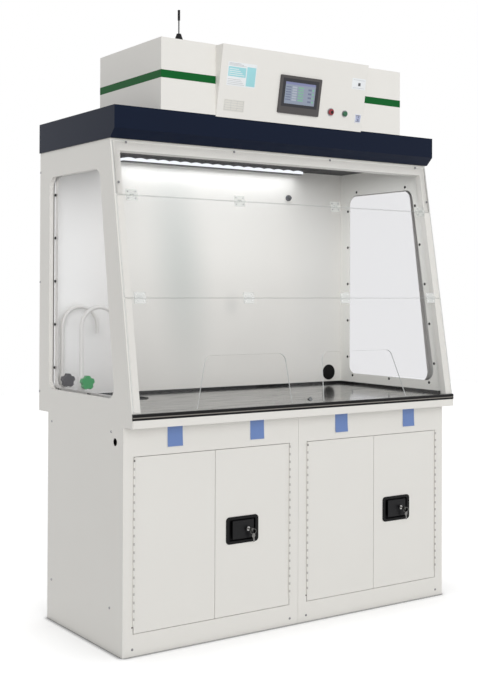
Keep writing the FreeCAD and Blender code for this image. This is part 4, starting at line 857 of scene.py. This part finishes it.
class HOOD_OT_labels(bpy.types.Operator):
    """Blank label fields on the console"""
    bl_idname = "hood.labels"
    bl_label = "Console labels"

    def execute(self, context):
        # Printed polyester labels: satin, with plain colour fields and ruled lines only
        paper = coated("white label film", linear("#E9ECEE"), 0.4, grain=4.0, depth=0.01)
        cyan = coated("cyan label print", linear("#9ED6DC"), 0.4, grain=4.0, depth=0.01)
        grey = coated("grey label print", linear("#B4B6B8"), 0.5, grain=4.0, depth=0.01)
        dark = coated("dark label print", linear("#4A4C50"), 0.5, grain=4.0, depth=0.01)

        def field(x0, x1, y0, y1, high, number, radius=0.6):
            return plate(rounded(x0, x1, y0, y1, radius), 0.0, high, 0.02, on_console), number
        parts = [field(-307.5, -179, 117, 203, 0.20, 0, 3.0),
                 field(-304, -226, 151, 186, 0.28, 1), field(-222, -182, 121, 191, 0.28, 1)]
        parts += [field(-304, -226 - 12 * i, 190 + 4 * i, 191.6 + 4 * i, 0.28, 2) for i in range(3)]
        parts += [field(-304, -228 - 6 * i, 122 + 6 * i, 123.4 + 6 * i, 0.28, 2) for i in range(4)]
        parts += [field(-300, -232 - 9 * i, 156 + 7 * i, 158.4 + 7 * i, 0.34, 0) for i in range(4)]
        parts += [field(282.5, 352, 164.5, 207, 0.20, 0, 2.0), field(314, 326, 178, 190, 0.28, 3),
                  field(288, 346, 169, 170.2, 0.28, 2), field(288, 346, 200, 201.2, 0.28, 2)]
        piece("console_labels", parts, "hood", [paper, cyan, grey, dark])

        # Aged clear film over the paint: a warm, faint field
        faint = coated("faint label film", linear("#DBD9D2"), 0.35, grain=4.0, depth=0.01)
        parts = [field(-310, -218.5, 24, 66.8, 0.15, 0, 2.0)]
        parts += [field(-306, -222.5, 28 + 8.7 * i, 28.7 + 8.7 * i, 0.22, 1) for i in range(5)]
        parts += [field(-306 + 27.6 * i, -305.3 + 27.6 * i, 28, 63.5, 0.22, 1) for i in range(4)]
        piece("rating_field", parts, "hood", [faint, grey])
        return {"FINISHED"}


class HOOD_OT_screen(bpy.types.Operator):
    """Lit page of the touch screen, with its dark inner border"""
    bl_idname = "hood.screen"
    bl_label = "Screen page"

    def execute(self, context):
        # Black print under the cover glass round the page, and the page's own lit colours
        border = coated("dark screen border", linear("#2C2C31"), 0.3, grain=3.0, depth=0.01, ior=1.4)
        bar = coated("screen header bar", linear("#8085AC"), 0.2, grain=8.0, depth=0.0)
        dim = coated("screen grey marks", linear("#6F7890"), 0.2, grain=8.0, depth=0.0)
        green = coated("screen green marks", linear("#7DB595"), 0.2, grain=8.0, depth=0.0)
        pale = coated("screen pale fields", linear("#A9B1BE"), 0.2, grain=8.0, depth=0.0)

        def on_glass(points):
            """The same measures as on_console, from the face of the glass."""
            return on_console(points + np.array([0, 0, 4.52]))

        def field(x0, x1, y0, y1, number):
            return plate(rounded(x0, x1, y0, y1, 0.3), 0.0, 0.05, 0.01, on_glass), number
        parts = [field(-42.5, 102.5, 150, 159, 0)]
        for row in range(6):
            y = 138 - 9.5 * row
            parts += [field(-38, -14, y, y + 4.2, 1), field(-8, 14, y - 1, y + 5.5, 3),
                      field(20, 46, y, y + 4.5, 2)]
        for row in range(4):
            y = 133 - 15 * row
            parts += [field(68, 84, y, y + 7, 1), field(88, 96, y, y + 7, 2)]
        piece("screen_page", parts, "hood", [bar, dim, green, pale])

        outer, inner = rounded(-56, 116, 66, 172, 2.0, 5), rounded(-43, 103, 77, 159.5, 0.5, 5)
        parts = [(washer(outer, inner, 5.9, 6.12, on_console), 0)]
        piece("screen_border", parts, "hood", [border])
        return {"FINISHED"}


class HOOD_OT_marks(bpy.types.Operator):
    """Dark centre of the stop button, and plain bar and ring marks on the rocker"""
    bl_idname = "hood.marks"
    bl_label = "Button marks"

    def execute(self, context):
        # Pad print: a flat black disc on the red, and thin dark grey strokes on the pale rocker
        ink = coated("black pad print", linear("#1B1517"), 0.45, grain=2.0, depth=0.0, ior=1.3)
        disc = circle(6.2, 28) + np.array((192.5, 64.0))
        piece("stop_button_centre", [(plate(disc, 8.9, 9.15, 0.1, on_console), 0)], "stop_button", [ink])
        grey = coated("grey pad print", linear("#343A4C"), 0.45, grain=2.0, depth=0.0)
        centre_x, centre_up = 331.5, 51.0

        def on_rocker(points):
            """(x, up, outwards from the rocker's face) in millimetres; the face has two slopes."""
            x, up, out = measures(points)
            face = 3.2 + np.where(up > centre_up, 2.8, 1.0) * (up - centre_up) / 11.5
            return on_console(np.stack((x, up, face + out), axis=-1))
        bar = rounded(centre_x - 1.2, centre_x + 1.2, 53.5, 60.0, 0.3)
        ring = np.column_stack((circle(1.0, 28) * (2.5, 2.8) + (centre_x, 45.6), np.zeros(28)))
        parts = [(plate(bar, -0.1, 0.12, 0.05, on_rocker), 0),
                 (carried(on_rocker(ring), circle(0.7 * MM, 8), (0.3, -0.9, 0.2)), 0)]
        piece("rocker_marks", parts, "rocker", [grey])
        return {"FINISHED"}


class HOOD_PT_panel(bpy.types.Panel):
    """Operators and settings of the fume hood"""
    bl_idname = "HOOD_PT_panel"
    bl_label = "Fume hood"
    bl_space_type = "VIEW_3D"
    bl_region_type = "UI"
    bl_category = "Fume hood"

    def draw(self, context):
        column = self.layout.column()
        for key, kind in GROUPS.items():
            group = getattr(context.scene, key)
            for name in kind.__annotations__:
                column.prop(group, name)
        for operator in OPERATORS:
            column.operator(operator.bl_idname)


GROUPS = {"hood_paint": HoodPaint, "hood_hardware": HoodHardware, "hood_studio": HoodStudio}
OPERATORS = (HOOD_OT_studio, HOOD_OT_coats, HOOD_OT_panes, HOOD_OT_bench, HOOD_OT_latches,
             HOOD_OT_console, HOOD_OT_inside, HOOD_OT_knuckles, HOOD_OT_tabs, HOOD_OT_window_screws,
             HOOD_OT_sash_screws, HOOD_OT_keys, HOOD_OT_labels, HOOD_OT_screen, HOOD_OT_marks)


def register():
    for name, group in GROUPS.items():
        bpy.utils.register_class(group)
        setattr(bpy.types.Scene, name, PointerProperty(type=group))
    for operator in OPERATORS:
        bpy.utils.register_class(operator)
    bpy.utils.register_class(HOOD_PT_panel)


def unregister():
    bpy.utils.unregister_class(HOOD_PT_panel)
    for operator in reversed(OPERATORS):
        bpy.utils.unregister_class(operator)
    for name, group in GROUPS.items():
        delattr(bpy.types.Scene, name)
        bpy.utils.unregister_class(group)


def main():
    register()
    for operator in OPERATORS:
        category, name = operator.bl_idname.split(".")
        getattr(getattr(bpy.ops, category), name)()


if __name__ == "__main__":
    main()
